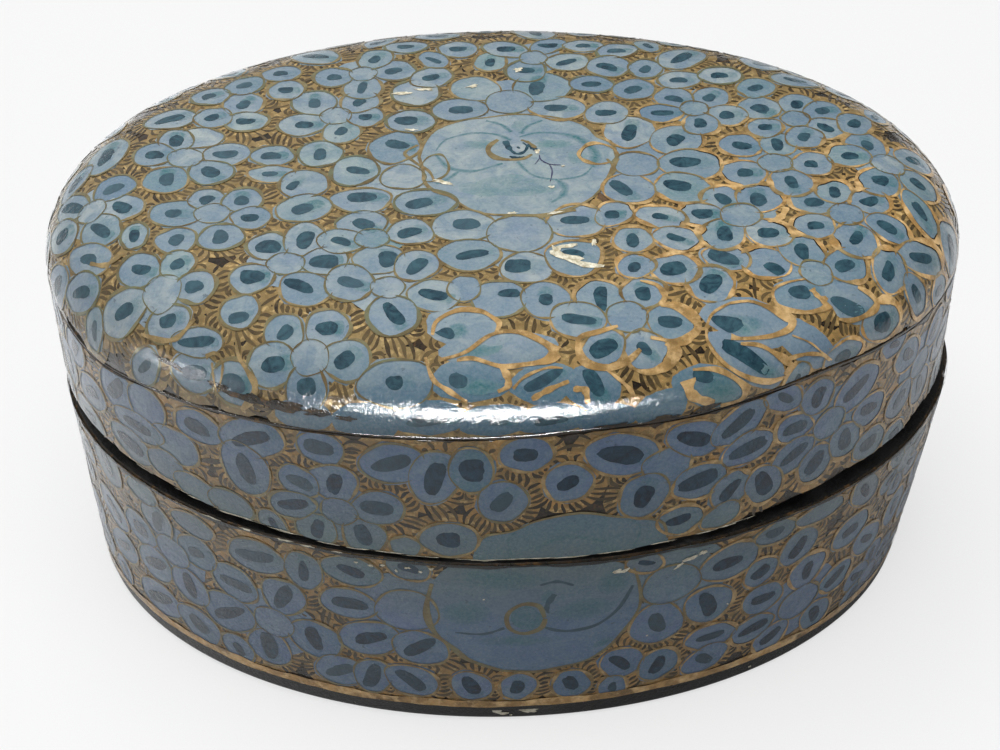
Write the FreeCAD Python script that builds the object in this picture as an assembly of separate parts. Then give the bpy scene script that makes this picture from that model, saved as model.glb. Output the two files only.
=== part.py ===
import FreeCAD, Part
import math
import os

# Oval papier mache trinket box with a lift-off lid, in millimetres.
# +X runs along the oval, +Y across it to the back, +Z up. The origin is the middle of the underside.

# Lid, measured over its painted faces
lid_length = 115.0
lid_width = 82.8
lid_wall_height = 18.6
shoulder_rise = 9.3
shoulder_inset = 13.4
lid_edge_bow = 2.0

# Base
rim_height = 30.1
rim_overhang = 0.5
wall_taper = 2.3
foot_height = 2.3
foot_round = 1.0

# Boards, coats and papers
lid_wall_board = 2.6
lid_top_board = 2.8
collar_board = 1.6
paint_coat = 0.4
lining_paper = 0.25

# How the lid sits over the collar
collar_rise = 5.0
collar_edge_round = 0.5
collar_clearance = 0.35
seam_gap = 0.3

# Arcs that make up an oval, and sections that shape the rounded shoulder
oval_arcs = 4
shoulder_sections = 7

# Heights of the seam and of the edge between the lid wall and its rounded top
lid_edge_height = rim_height + seam_gap
shoulder_height = lid_edge_height + lid_wall_height

# Faces of the layers, each as its inset from the lid's painted face
lid_board_face = paint_coat
lid_board_back = lid_board_face + lid_wall_board
lid_lining_face = lid_board_back + lining_paper
collar_face = lid_lining_face + collar_clearance
collar_back = collar_face + collar_board
base_paint_face = -rim_overhang
base_board_face = base_paint_face + paint_coat


def oval(inset, height):
    """Closed oval of four arcs, drawn in by an equal inset all round, at a height."""
    centre = FreeCAD.Vector(0, 0, height)
    curve = Part.Ellipse(centre, lid_length / 2 - inset, lid_width / 2 - inset)
    turns = [2 * math.pi * arc / oval_arcs for arc in range(oval_arcs + 1)]
    return Part.Wire([curve.toShape(start, end) for start, end in zip(turns, turns[1:])])


def upright(inset, low, high):
    """Solid oval with upright sides."""
    return Part.Face(oval(inset, low)).extrude(FreeCAD.Vector(0, 0, high - low))


def leaning_oval(inset, height):
    """Oval of the base: below the rim it is drawn in steadily towards the foot."""
    below_rim_share = 1 - min(height, rim_height) / rim_height
    return oval(inset + wall_taper * below_rim_share, height)


def leaning(inset, heights):
    """Solid that follows the base's tapered sides through the given heights."""
    return Part.makeLoft([leaning_oval(inset, height) for height in heights], True, True)


def dome(edge_inset, depth):
    """Solid under the rounded top, at a depth below the painted crown."""
    sections = []
    for step in range(shoulder_sections + 1):
        turn = math.pi / 2 * step / shoulder_sections
        inset = edge_inset + (shoulder_inset - edge_inset) * (1 - math.cos(turn))
        rise = (shoulder_rise - depth) * math.sin(turn)
        sections.append(oval(inset, shoulder_height + rise))
    return Part.makeLoft(sections, True, False)


def bowed(shape):
    """Shape trimmed to the lid's lower edge, which rises towards both ends of the oval."""
    half = lid_length / 2
    radius = (half**2 + lid_edge_bow**2) / (2 * lid_edge_bow)
    start = FreeCAD.Vector(0, -lid_width, lid_edge_height + radius)
    keep = Part.makeCylinder(radius, 2 * lid_width, start, FreeCAD.Vector(0, 1, 0))
    return shape.common(keep)


def rounded(shape, radius, height):
    """Solid with the edge round its end at a height rounded off."""
    near = seam_gap / 10
    edges = [
        edge for edge in shape.Edges
        if edge.BoundBox.ZMax < height + near and edge.BoundBox.ZMin > height - near
    ]
    return shape.makeFillet(radius, edges)


def lid_band(face, back):
    """Band of the lid wall between two insets, with the bowed lower edge."""
    low = lid_edge_height
    band = upright(face, low, shoulder_height).cut(upright(back, low, shoulder_height))
    return bowed(band)


def base_band(face, back, low, high):
    """Band of the tapered base wall between two insets."""
    return leaning(face, [low, high]).cut(leaning(back, [low, high]))


def save(name, shape):
    solid = shape.Solids[0]
    print(f"{name}: {len(shape.Solids)} solid, {solid.Volume:.0f} mm3, valid {solid.isValid()}")
    solid.exportStep(f"parts/{name}.step")


def lid_top():
    """Moulded board of the top, its painted coat and its paper lining."""
    ceiling_depth = paint_coat + lid_top_board
    board = dome(lid_board_face, paint_coat)
    ceiling = dome(lid_board_back, ceiling_depth)
    save("lid_top_skin", dome(0, 0).cut(board))
    save("lid_top_panel", board.cut(ceiling))
    save("lid_ceiling_lining", ceiling.cut(dome(lid_lining_face, ceiling_depth + lining_paper)))


def lid_wall():
    """Board band of the lid wall, its painted coat and its paper lining."""
    save("lid_wall_skin", lid_band(0, lid_board_face))
    save("lid_wall_band", lid_band(lid_board_face, lid_board_back))
    save("lid_wall_lining", lid_band(lid_board_back, lid_lining_face))


def base_foot():
    """Floor board with the black coat of the foot wrapped round its edge and underside."""
    foot = rounded(leaning(base_paint_face, [0, foot_height]), foot_round, 0)
    board = rounded(
        leaning(base_board_face, [paint_coat, foot_height]), foot_round - paint_coat, paint_coat
    )
    save("base_floor_board", board)
    save("base_foot_skin", foot.cut(board))


def base_wall():
    """Board band of the base wall and its painted coat, standing on the foot."""
    save("base_wall_skin", base_band(base_paint_face, base_board_face, foot_height, rim_height))
    save("base_wall_band", base_band(base_board_face, collar_face, foot_height, rim_height))


def base_inside():
    """Collar that lines the base wall and stands proud of the rim, and the floor's lining."""
    collar_top = rim_height + collar_rise
    heights = [foot_height, rim_height, collar_top]
    outer = rounded(leaning(collar_face, heights), collar_edge_round, collar_top)
    save("base_collar", outer.cut(leaning(collar_back, heights)))
    save("base_floor_lining", leaning(collar_back, [foot_height, foot_height + lining_paper]))


os.makedirs("parts", exist_ok=True)
lid_top()
lid_wall()
base_foot()
base_wall()
base_inside()
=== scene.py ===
import math

import bpy
import numpy as np
from mathutils import Matrix, Vector


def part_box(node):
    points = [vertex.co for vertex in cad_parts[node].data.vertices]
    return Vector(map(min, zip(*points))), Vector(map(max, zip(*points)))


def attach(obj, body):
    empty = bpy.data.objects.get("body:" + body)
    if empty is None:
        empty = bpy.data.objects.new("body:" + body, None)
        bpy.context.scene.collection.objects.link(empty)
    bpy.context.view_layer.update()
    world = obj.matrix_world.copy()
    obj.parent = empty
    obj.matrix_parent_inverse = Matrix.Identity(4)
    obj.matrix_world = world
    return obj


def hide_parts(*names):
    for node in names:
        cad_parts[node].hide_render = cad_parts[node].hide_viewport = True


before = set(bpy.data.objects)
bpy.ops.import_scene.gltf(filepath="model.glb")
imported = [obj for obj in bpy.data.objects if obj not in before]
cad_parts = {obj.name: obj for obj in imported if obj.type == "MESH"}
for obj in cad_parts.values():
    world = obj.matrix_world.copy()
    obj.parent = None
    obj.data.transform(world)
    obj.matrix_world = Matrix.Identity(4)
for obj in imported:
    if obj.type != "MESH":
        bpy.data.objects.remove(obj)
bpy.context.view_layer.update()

# The moulded top of the lid: layered paper pressed over a former and coated with chalk ground. It is
# flat at the crown and rolls over in a soft shoulder, whose edge wanders up and down by hand.
MM = 0.001
lid_low, lid_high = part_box("lid_wall_skin")
half_long, half_wide, shoulder_height = lid_high
lid_edge_height = lid_low[2]
crown_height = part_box("lid_top_skin")[1][2]
shoulder_inset = 13.4 * MM
flat_long = half_long - shoulder_inset
flat_wide = half_wide - shoulder_inset
lip_tuck = 0.22 * MM

# Degrees round the oval from the front, and how far the shoulder's edge wanders there, in millimetres
SHOULDER_WANDER = (
    (-180, -1.5), (-120, -0.6), (-80, -0.8), (-56, -2.8), (-44, -1.6), (-28, -0.6), (-8, 0.4), (8, 1.2),
    (22, 1.1), (38, 2.1), (50, 1.3), (62, -0.1), (110, -0.6), (180, -1.5),
)


def wander(turn, points):
    """Given heights round the oval, eased from one point to the next."""
    degrees = (np.degrees(turn) + 180) % 360 - 180
    angles, heights = (np.array(column, float) for column in zip(*points))
    place = np.interp(degrees, angles, np.arange(len(angles)))
    whole = np.clip(np.floor(place), 0, len(angles) - 2).astype(int)
    ease = place - whole
    ease = ease * ease * (3 - 2 * ease)
    return (heights[whole] * (1 - ease) + heights[whole + 1] * ease) * MM


def shoulder_rise(turn):
    return crown_height - shoulder_height - wander(turn, SHOULDER_WANDER)


def shoulder_run(turn):
    """Length of the quarter-oval profile over the shoulder."""
    rise = shoulder_rise(turn)
    spread = ((shoulder_inset - rise) / (shoulder_inset + rise)) ** 2
    around = math.pi * (shoulder_inset + rise) * (1 + 3 * spread / (10 + np.sqrt(4 - 3 * spread)))
    return around / 4


profile_turns = np.linspace(0, math.pi / 2, 200)
profile_out = shoulder_inset * np.sin(profile_turns)
profile_drop = (crown_height - shoulder_height) * (1 - np.cos(profile_turns))
profile_share = np.cumsum(np.hypot(np.diff(profile_out, prepend=0), np.diff(profile_drop, prepend=0)))
profile_share /= profile_share[-1]


def ripple(x, y, z):
    """Slow hand-made unevenness of the boards, about a tenth of a millimetre."""
    slow = np.sin(95 * x + 61 * y + 140 * z) + np.sin(71 * x - 117 * y - 90 * z + 1.3)
    quick = np.sin(210 * x + 173 * y + 260 * z + 2.1) * np.sin(190 * x - 160 * y + 0.4)
    return (0.055 * slow + 0.05 * quick) * MM


def top_turn(x, y):
    """How far a place on the unrolled top lies past the flat crown, and its turn round the oval."""
    low = np.zeros_like(x)
    high = np.full_like(x, half_long)
    for _ in range(40):
        middle = (low + high) / 2
        outside = (x / (flat_long + middle)) ** 2 + (y / (flat_wide + middle)) ** 2 > 1
        low = np.where(outside, middle, low)
        high = np.where(outside, high, middle)
    past = np.where((x / flat_long) ** 2 + (y / flat_wide) ** 2 <= 1, 0, (low + high) / 2)
    return past, np.arctan2(x / (flat_long + past), -y / (flat_wide + past))


def top_place(x, y):
    """The top's surface at a place on it unrolled: x to the right, y to the back."""
    past, turn = top_turn(x, y)
    run = shoulder_run(turn)
    bend = np.interp(np.clip(past / run, 0, 1), profile_share, profile_turns)
    out = shoulder_inset * np.sin(bend)
    drop = shoulder_rise(turn) * (1 - np.cos(bend)) + np.maximum(past - run, 0)
    flat = past == 0
    along = np.where(flat, x, (flat_long + out) * np.sin(turn))
    across = np.where(flat, y, -(flat_wide + out) * np.cos(turn))
    height = crown_height - drop + ripple(along, across, -drop)
    return np.stack([along, across, height], -1)


def facing(surface, u, v):
    """Outward directions of a surface."""
    step = 0.02 * MM
    place = surface(u, v)
    side = np.cross(surface(u + step, v) - place, surface(u, v + step) - place)
    return side / np.maximum(np.linalg.norm(side, axis=-1, keepdims=True), 1e-20)


def deselect():
    if bpy.context.mode != "OBJECT":
        bpy.ops.object.mode_set(mode="OBJECT")
    bpy.ops.object.select_all(action="DESELECT")


def take(name):
    """The primitive just added, by its new name."""
    piece = bpy.context.active_object
    piece.name = name
    piece.data.name = name
    return piece


def set_places(piece, places):
    piece.data.vertices.foreach_set("co", np.asarray(places, np.float32).ravel())
    piece.data.update()


def new_circle(name, around, fill="NOTHING"):
    """A circle of radius 1, left in edit mode with all of it selected."""
    deselect()
    bpy.ops.mesh.primitive_circle_add(vertices=around, radius=1, fill_type=fill)
    piece = take(name)
    bpy.ops.object.mode_set(mode="EDIT")
    bpy.ops.mesh.select_all(action="SELECT")
    return piece


def flat_places(piece):
    return np.array([vertex.co[:2] for vertex in piece.data.vertices])


def disc_sheet(name, around, rings):
    """A round sheet of concentric rings, by insetting a filled circle towards its middle."""
    piece = new_circle(name, around, "NGON")
    for _ in range(rings - 1):
        bpy.ops.mesh.inset(thickness=1 / rings, use_even_offset=False)
    bpy.ops.mesh.poke()
    bpy.ops.object.mode_set(mode="OBJECT")
    return piece


def tidy_shell(piece, flip=False):
    """Rounded shading and outward faces."""
    deselect()
    piece.select_set(True)
    bpy.context.view_layer.objects.active = piece
    bpy.ops.object.mode_set(mode="EDIT")
    bpy.ops.mesh.select_all(action="SELECT")
    bpy.ops.mesh.normals_make_consistent(inside=flip)
    bpy.ops.object.mode_set(mode="OBJECT")
    bpy.ops.object.shade_smooth_by_angle(angle=math.radians(40))


def colour(red, green, blue):
    """A colour as the eye reads it, from 0 to 255, in the renderer's own scale."""
    def one(value):
        value /= 255
        return value / 12.92 if value < 0.04045 else ((value + 0.055) / 1.055) ** 2.4
    return (one(red), one(green), one(blue), 1)


def add(tree, kind, **settings):
    made = tree.nodes.new(kind)
    for key, value in settings.items():
        if key in made.inputs:
            made.inputs[key].default_value = value
        else:
            setattr(made, key, value)
    return made


def noise(tree, coordinates, scale, detail=3.0, roughness=0.55, distortion=0.0):
    made = add(tree, "ShaderNodeTexNoise")
    made.inputs["Scale"].default_value = scale
    made.inputs["Detail"].default_value = detail
    made.inputs["Roughness"].default_value = roughness
    made.inputs["Distortion"].default_value = distortion
    tree.links.new(coordinates, made.inputs["Vector"])
    return made.outputs["Fac"]


def spread(tree, value, low, high, start=0.0, end=1.0):
    """Stretch a value between two limits."""
    made = add(tree, "ShaderNodeMapRange")
    for key, number in (("From Min", low), ("From Max", high), ("To Min", start), ("To Max", end)):
        made.inputs[key].default_value = number
    tree.links.new(value, made.inputs["Value"])
    return made.outputs["Result"]


def blend(tree, mask, first, second, kind="MIX"):
    """Mix two colours by a mask; each is a colour or a socket."""
    made = add(tree, "ShaderNodeMix", data_type="RGBA", blend_type=kind)
    for socket, given in ((made.inputs[0], mask), (made.inputs[6], first), (made.inputs[7], second)):
        if isinstance(given, bpy.types.NodeSocket):
            tree.links.new(given, socket)
        else:
            socket.default_value = given
    return made.outputs[2]


def reckon(tree, first, second, kind="MULTIPLY"):
    """Multiply two values, or join them in the way that kind names."""
    made = add(tree, "ShaderNodeMath", operation=kind)
    for socket, given in zip(made.inputs, (first, second)):
        if isinstance(given, bpy.types.NodeSocket):
            tree.links.new(given, socket)
        else:
            socket.default_value = given
    return made.outputs[0]


def make_lacquer_group():
    """Relief and dulling of hand-brushed lacquer, shared by all the coats."""
    group = bpy.data.node_groups.new("brushed_lacquer", "ShaderNodeTree")
    group.interface.new_socket("Ripple", in_out="INPUT", socket_type="NodeSocketFloat")
    group.interface.new_socket("Grit", in_out="INPUT", socket_type="NodeSocketFloat")
    group.interface.new_socket("Height", in_out="OUTPUT", socket_type="NodeSocketFloat")
    group.interface.new_socket("Dulling", in_out="OUTPUT", socket_type="NodeSocketFloat")
    given = add(group, "NodeGroupInput")
    result = add(group, "NodeGroupOutput")
    where = add(group, "ShaderNodeTexCoord").outputs["Object"]
    waves = reckon(group, noise(group, where, 420, 4, 0.55, 0.4), given.outputs["Ripple"])
    grit = reckon(group, noise(group, where, 2300, 4, 0.6), given.outputs["Grit"])
    group.links.new(reckon(group, waves, grit, "ADD"), result.inputs["Height"])
    worn = spread(group, noise(group, where, 190, 5, 0.65), 0.35, 0.75)
    group.links.new(worn, result.inputs["Dulling"])
    return group


lacquer_group = make_lacquer_group()


def coated(name, rough, ripple_share, grit_share, sheen=0.5, dust=0.0):
    """A material under lacquer: its tree, its object coordinates and its shader."""
    made = bpy.data.materials.new(name)
    made.use_nodes = True
    tree = made.node_tree
    shader = tree.nodes["Principled BSDF"]
    where = add(tree, "ShaderNodeTexCoord").outputs["Object"]
    lacquer = add(tree, "ShaderNodeGroup", node_tree=lacquer_group)
    lacquer.inputs["Ripple"].default_value = ripple_share
    lacquer.inputs["Grit"].default_value = grit_share
    bump = add(tree, "ShaderNodeBump")
    bump.inputs["Distance"].default_value = 0.15 * MM
    shader.inputs["Specular IOR Level"].default_value = sheen
    shader.inputs["Sheen Weight"].default_value = dust
    tree.links.new(lacquer.outputs["Height"], bump.inputs["Height"])
    tree.links.new(bump.outputs["Normal"], shader.inputs["Normal"])
    tree.links.new(spread(tree, lacquer.outputs["Dulling"], 0, 1, rough * 0.7, rough * 1.5),
                   shader.inputs["Roughness"])
    return made, tree, where, shader


TOP_COAT = dict(rough=0.05, ripple_share=1.15, grit_share=0.35)
WALL_COAT = dict(rough=0.2, ripple_share=1.0, grit_share=0.4, sheen=0.42, dust=0.12)


def ground_paint(name, coat, dark, brown):
    """Brown-black ground between the flowers, mottled and rubbed to brown in places."""
    made, tree, where, shader = coated(name, **coat)
    rubbed = spread(tree, noise(tree, where, 170, 5, 0.7), 0.5, 0.72)
    fine = spread(tree, noise(tree, where, 1900, 3), 0.4, 0.7, 0, 0.5)
    shade = blend(tree, rubbed, dark, brown)
    flecks = spread(tree, noise(tree, where, 640, 4, 0.65), 0.56, 0.64, 0, 0.45)
    shade = blend(tree, fine, shade, brown)
    tree.links.new(blend(tree, flecks, shade, colour(112, 80, 38)), shader.inputs["Base Color"])
    return made


top_ground = ground_paint("ground_top", TOP_COAT, colour(26, 23, 18), colour(60, 46, 30))

lid_top = disc_sheet("lid_top", 220, 44)
unit = flat_places(lid_top)
reach = np.linalg.norm(unit, axis=1)
turns = np.arctan2(unit[:, 0], -unit[:, 1])
run = shoulder_run(turns)
sheet_x = reach * (flat_long + run) * np.sin(turns)
sheet_y = -reach * (flat_wide + run) * np.cos(turns)
places = top_place(sheet_x, sheet_y)
rim = reach > 0.999
places[rim, 0] -= lip_tuck * np.sin(turns[rim])
places[rim, 1] += lip_tuck * np.cos(turns[rim])
set_places(lid_top, places)
lid_top.data.materials.append(top_ground)
tidy_shell(lid_top)
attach(lid_top, "lid")
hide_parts("lid_top_skin", "lid_top_panel")


# The lid's wall: an oval band of pressed board under the same ground coat. Its lower edge bows up
# towards the two ends and is slightly ragged, and its top edge is tucked in under the shoulder.
arc_turns = np.linspace(-3 * math.pi, 3 * math.pi, 12001)
arc_steps = np.hypot(half_long * np.cos(arc_turns), half_wide * np.sin(arc_turns))
arc_runs = np.concatenate([[0], np.cumsum((arc_steps[1:] + arc_steps[:-1]) / 2 * np.diff(arc_turns))])
arc_runs -= arc_runs[len(arc_runs) // 2]
wall_run = np.interp(math.pi, arc_turns, arc_runs)
coat_thickness = 0.4 * MM
wall_steps = 260
edge_bow = 2.0 * MM
SEAM_WANDER = (
    (-180, 0.0), (-130, 0.3), (-90, 0.1), (-62, 0.5), (-48, 0.7), (-34, 0.35), (-20, 0.0), (0, 0.05),
    (14, 0.1), (28, 0.4), (44, 0.75), (60, 0.3), (90, 0.1), (130, 0.4), (180, 0.0),
)


def wall_turn(run_along):
    return np.interp(run_along, arc_runs, arc_turns)


def wall_bulge(turn, height, long_side, wide_side):
    return ripple(np.sin(turn) * long_side, np.cos(turn) * wide_side, height)


def lid_wall_place(run_along, height):
    """The lid wall's surface: run along it from the front's middle, and height."""
    turn = wall_turn(run_along)
    bulge = wall_bulge(turn, height, half_long, half_wide)
    return np.stack([(half_long + bulge) * np.sin(turn), -(half_wide + bulge) * np.cos(turn), height], -1)


def ragged(turn, size):
    """Small unevenness of a cut edge."""
    return size * (np.sin(23 * turn + 0.7) + np.sin(41 * turn) * 0.7 + np.sin(87 * turn + 2) * 0.5) / 2.2


def lid_edge(turn):
    bow = edge_bow * np.sin(turn) ** 2
    return lid_edge_height + bow + wander(turn, SEAM_WANDER) + ragged(turn, 0.16 * MM) + 0.1 * MM


def lid_shoulder(turn):
    return shoulder_height + wander(turn, SHOULDER_WANDER)


def ring_shell(name, around, rows):
    """A closed band: a circle extruded up row by row and bridged shut along its inner side."""
    piece = new_circle(name, around)
    for _ in range(rows - 1):
        bpy.ops.mesh.extrude_region_move(TRANSFORM_OT_translate={"value": (0, 0, 1)})
    bpy.ops.mesh.select_all(action="SELECT")
    bpy.ops.mesh.select_non_manifold(extend=False)
    bpy.ops.mesh.bridge_edge_loops()
    bpy.ops.object.mode_set(mode="OBJECT")
    return piece


def place_rows(piece, profile, long_side, wide_side, shift=None):
    """Move a band's rows: each row of the profile gives the inset and the height at every turn."""
    start = np.array([vertex.co for vertex in piece.data.vertices])
    turn = np.arctan2(start[:, 0], -start[:, 1])
    level = np.rint(start[:, 2]).astype(int)
    inset = np.zeros(len(start))
    height = np.zeros(len(start))
    for row, make in enumerate(profile):
        mine = level == row
        inset[mine], height[mine] = make(turn[mine])
    along = (long_side - inset) * np.sin(turn)
    across = -(wide_side - inset) * np.cos(turn)
    if shift is not None:
        along = along + shift(height)
    set_places(piece, np.stack([along, across, height], -1))
    tidy_shell(piece)


def shaped_band(name, profile, long_side, wide_side, shift=None):
    piece = ring_shell(name, wall_steps, len(profile))
    place_rows(piece, profile, long_side, wide_side, shift)
    return piece


def lip(turn):
    """Width of the dark groove between the top's edge and the painted wall."""
    return (0.62 + 0.16 * np.sin(9 * turn + 1) + 0.1 * np.sin(22 * turn)) * MM


def lid_wall_row(share):
    """A row of the outer face, between the lower edge and the shoulder."""
    def make(turn):
        low = lid_edge(turn) + 0.25 * MM
        height = low + (lid_shoulder(turn) - lip(turn) - 0.1 * MM - low) * share
        bulge = wall_bulge(turn, height, half_long, half_wide)
        return -bulge, height
    return make


def lid_wall_point(inset, lift_from_edge=None, drop_from_shoulder=None):
    def make(turn):
        if lift_from_edge is not None:
            return np.full_like(turn, inset), lid_edge(turn) + lift_from_edge
        return np.full_like(turn, inset), lid_shoulder(turn) - drop_from_shoulder
    return make


wall_ground = ground_paint("ground_wall", WALL_COAT, colour(26, 23, 18), colour(66, 50, 32))
lid_wall_profile = (
    [lid_wall_point(coat_thickness, lift_from_edge=0), lid_wall_point(0.15 * MM, lift_from_edge=0.03 * MM)]
    + [lid_wall_row(share) for share in np.linspace(0, 1, 12)]
    + [lambda turn: (0.08 * MM + 0 * turn, lid_shoulder(turn) - lip(turn) - 0.02 * MM),
       lambda turn: (coat_thickness + 0 * turn, lid_shoulder(turn) - lip(turn) + 0.03 * MM)]
)
lid_wall = shaped_band("lid_wall", lid_wall_profile, half_long, half_wide)
lid_wall.data.materials.append(wall_ground)
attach(lid_wall, "lid")
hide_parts("lid_wall_skin")


# The lid's edge, where the top is folded over onto the wall: a low rounded ridge of dark lacquer, worn
# through to gold and brown here and there.
ridge_bend = 1.5


def edge_row(bend):
    """A row of the ridge's rounded face, by its bearing from level."""
    def make(turn):
        reach = lip(turn) / 2 + 0.05 * MM
        height = lid_shoulder(turn) - lip(turn) / 2 + reach * math.sin(bend)
        bulge = wall_bulge(turn, height, half_long, half_wide)
        return 0.3 * MM - reach * math.cos(bend) - bulge, height
    return make


edge_ground = ground_paint("worn_edge", dict(TOP_COAT, rough=0.1), colour(22, 19, 14), colour(66, 50, 28))
ridge_rows = [edge_row(bend) for bend in np.linspace(-ridge_bend, ridge_bend, 9)]
lid_ridge = shaped_band("lid_edge_ridge", ridge_rows, half_long, half_wide)
lid_ridge.data.materials.append(edge_ground)
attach(lid_ridge, "lid")


# The board inside the lid's wall: pressed paper stained black, bare only at its lower edge, where
# years of closing have rubbed it ragged.
board_back = 3.0 * MM


def board_edge(name, dark, rubbed_colour):
    made, tree, where, shader = coated(name, 0.4, 0.8, 1.0)
    rubbed = spread(tree, noise(tree, where, 420, 5, 0.7), 0.56, 0.7)
    tree.links.new(blend(tree, rubbed, dark, rubbed_colour), shader.inputs["Base Color"])
    return made


black_board = board_edge("black_board", colour(14, 13, 12), colour(28, 25, 22))
lid_board_profile = [
    lid_wall_point(coat_thickness, drop_from_shoulder=0.05 * MM),
    lid_wall_point(coat_thickness, lift_from_edge=0.05 * MM),
    lid_wall_point(1.2 * MM, lift_from_edge=-0.03 * MM),
    lid_wall_point(board_back - 0.4 * MM, lift_from_edge=0.0),
    lid_wall_point(board_back, lift_from_edge=0.3 * MM),
    lid_wall_point(board_back, drop_from_shoulder=0.1 * MM),
]
lid_board = shaped_band("lid_wall_board", lid_board_profile, half_long, half_wide)
lid_board.data.materials.append(black_board)
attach(lid_board, "lid")
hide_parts("lid_wall_band")


# The base wall: a tapered oval band, a little wider than the lid at its rim and leaning slightly, with
# its rim rounded and rubbed. Its board behind ends at the collar.
base_low, base_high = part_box("base_wall_skin")
base_long, base_wide, rim_height = base_high
wall_foot_height = base_low[2]
wall_taper = 2.3 * MM
rim_shift = 0.35 * MM
foot_shift = -0.75 * MM
rim_board_back = base_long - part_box("base_collar")[1][0]


def base_shift(height):
    """The base stands a touch to the right at its rim and to the left at its foot."""
    return foot_shift + (rim_shift - foot_shift) * height / rim_height


def base_inset(height):
    return wall_taper * (1 - height / rim_height)


def base_wall_place(run_along, height):
    turn = wall_turn(run_along)
    bulge = wall_bulge(turn, height, base_long, base_wide) - base_inset(height)
    along = (base_long + bulge) * np.sin(turn) + base_shift(height)
    return np.stack([along, -(base_wide + bulge) * np.cos(turn), height], -1)


def base_wall_row(share):
    def make(turn):
        height = wall_foot_height + (rim_height - 0.6 * MM - wall_foot_height) * share
        height = height + ragged(turn, 0.08 * MM) * share
        bulge = wall_bulge(turn, height, base_long, base_wide)
        return base_inset(height) - bulge, height
    return make


def base_point(inset, height, rag=0.0):
    def make(turn):
        level = height + ragged(turn, rag)
        return inset + base_inset(level), level
    return make


base_wall_profile = (
    [base_point(coat_thickness, wall_foot_height)]
    + [base_wall_row(share) for share in np.linspace(0, 1, 14)]
    + [base_point(0.1 * MM, rim_height - 0.3 * MM, 0.1 * MM),
       base_point(coat_thickness, rim_height - 0.08 * MM, 0.06 * MM)]
)
base_wall = shaped_band("base_wall", base_wall_profile, base_long, base_wide, base_shift)
base_wall.data.materials.append(wall_ground)
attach(base_wall, "base")
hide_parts("base_wall_skin")

base_board_profile = [
    base_point(coat_thickness, wall_foot_height),
    base_point(coat_thickness, rim_height - 0.12 * MM, 0.06 * MM),
    base_point(0.8 * MM, rim_height - 0.02 * MM, 0.03 * MM),
    base_point(2.4 * MM, rim_height - 0.02 * MM, 0.03 * MM),
    base_point(rim_board_back - rim_shift - 0.1 * MM, rim_height - 0.1 * MM),
    base_point(rim_board_back - 0.4 * MM, wall_foot_height),
]
base_board = shaped_band("base_wall_board", base_board_profile, base_long, base_wide, base_shift)
base_board.data.materials.append(black_board)
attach(base_board, "base")
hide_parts("base_wall_band")


# The foot: the floor board's edge and underside under black lacquer, as one closed slab. It is rounded
# where it meets the table, and its side carries on the wall's slope.
foot_round = 1.0 * MM
foot_steps = 6


def black_lacquer(name, chipped):
    made, tree, where, shader = coated(name, 0.28, 0.8, 0.9)
    worn = spread(tree, noise(tree, where, 330, 5, 0.7), 0.6, 0.72)
    shade = blend(tree, worn, colour(13, 13, 11), colour(34, 30, 25))
    specks = spread(tree, noise(tree, where, 900, 2), 0.74, 0.78)
    tree.links.new(blend(tree, reckon(tree, specks, chipped), shade, colour(150, 140, 120)),
                   shader.inputs["Base Color"])
    return made


foot_coat = black_lacquer("foot_lacquer", 0.5)


def foot_rows():
    rows = [base_point(0, wall_foot_height)]
    for bend in np.linspace(0, math.pi / 2, foot_steps):
        rows.append(base_point(foot_round * (1 - math.cos(bend)), foot_round * (1 - math.sin(bend))))
    return rows


foot = ring_shell("base_foot", 220, foot_steps + 1)
bpy.ops.object.mode_set(mode="EDIT")
bpy.ops.mesh.select_all(action="DESELECT")
bpy.ops.object.mode_set(mode="OBJECT")
foot_level = np.array([vertex.co[2] for vertex in foot.data.vertices])
for face in foot.data.polygons:
    levels = [foot_level[index] for index in face.vertices]
    face.select = max(levels) - min(levels) > 2
bpy.ops.object.mode_set(mode="EDIT")
bpy.ops.mesh.delete(type="FACE")
bpy.ops.mesh.select_all(action="DESELECT")
bpy.ops.mesh.select_non_manifold(extend=False)
bpy.ops.mesh.edge_face_add()
bpy.ops.object.mode_set(mode="OBJECT")
place_rows(foot, foot_rows(), base_long, base_wide, base_shift)
foot.data.materials.append(foot_coat)
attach(foot, "base")
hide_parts("base_foot_skin", "base_floor_board")


# The collar and the linings: black lacquered board and paper inside the box, scuffed where the lid
# slides over the collar. These are the frame's own pieces with a finish of their own.
inside_coat = black_lacquer("inside_lacquer", 0.0)
collar_coat = black_lacquer("collar_lacquer", 0.25)
for node, coat in (("base_collar", collar_coat), ("base_floor_lining", inside_coat),
                   ("lid_ceiling_lining", inside_coat), ("lid_wall_lining", inside_coat)):
    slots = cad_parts[node].data.materials
    for index in range(len(slots)):
        slots[index] = coat
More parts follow.
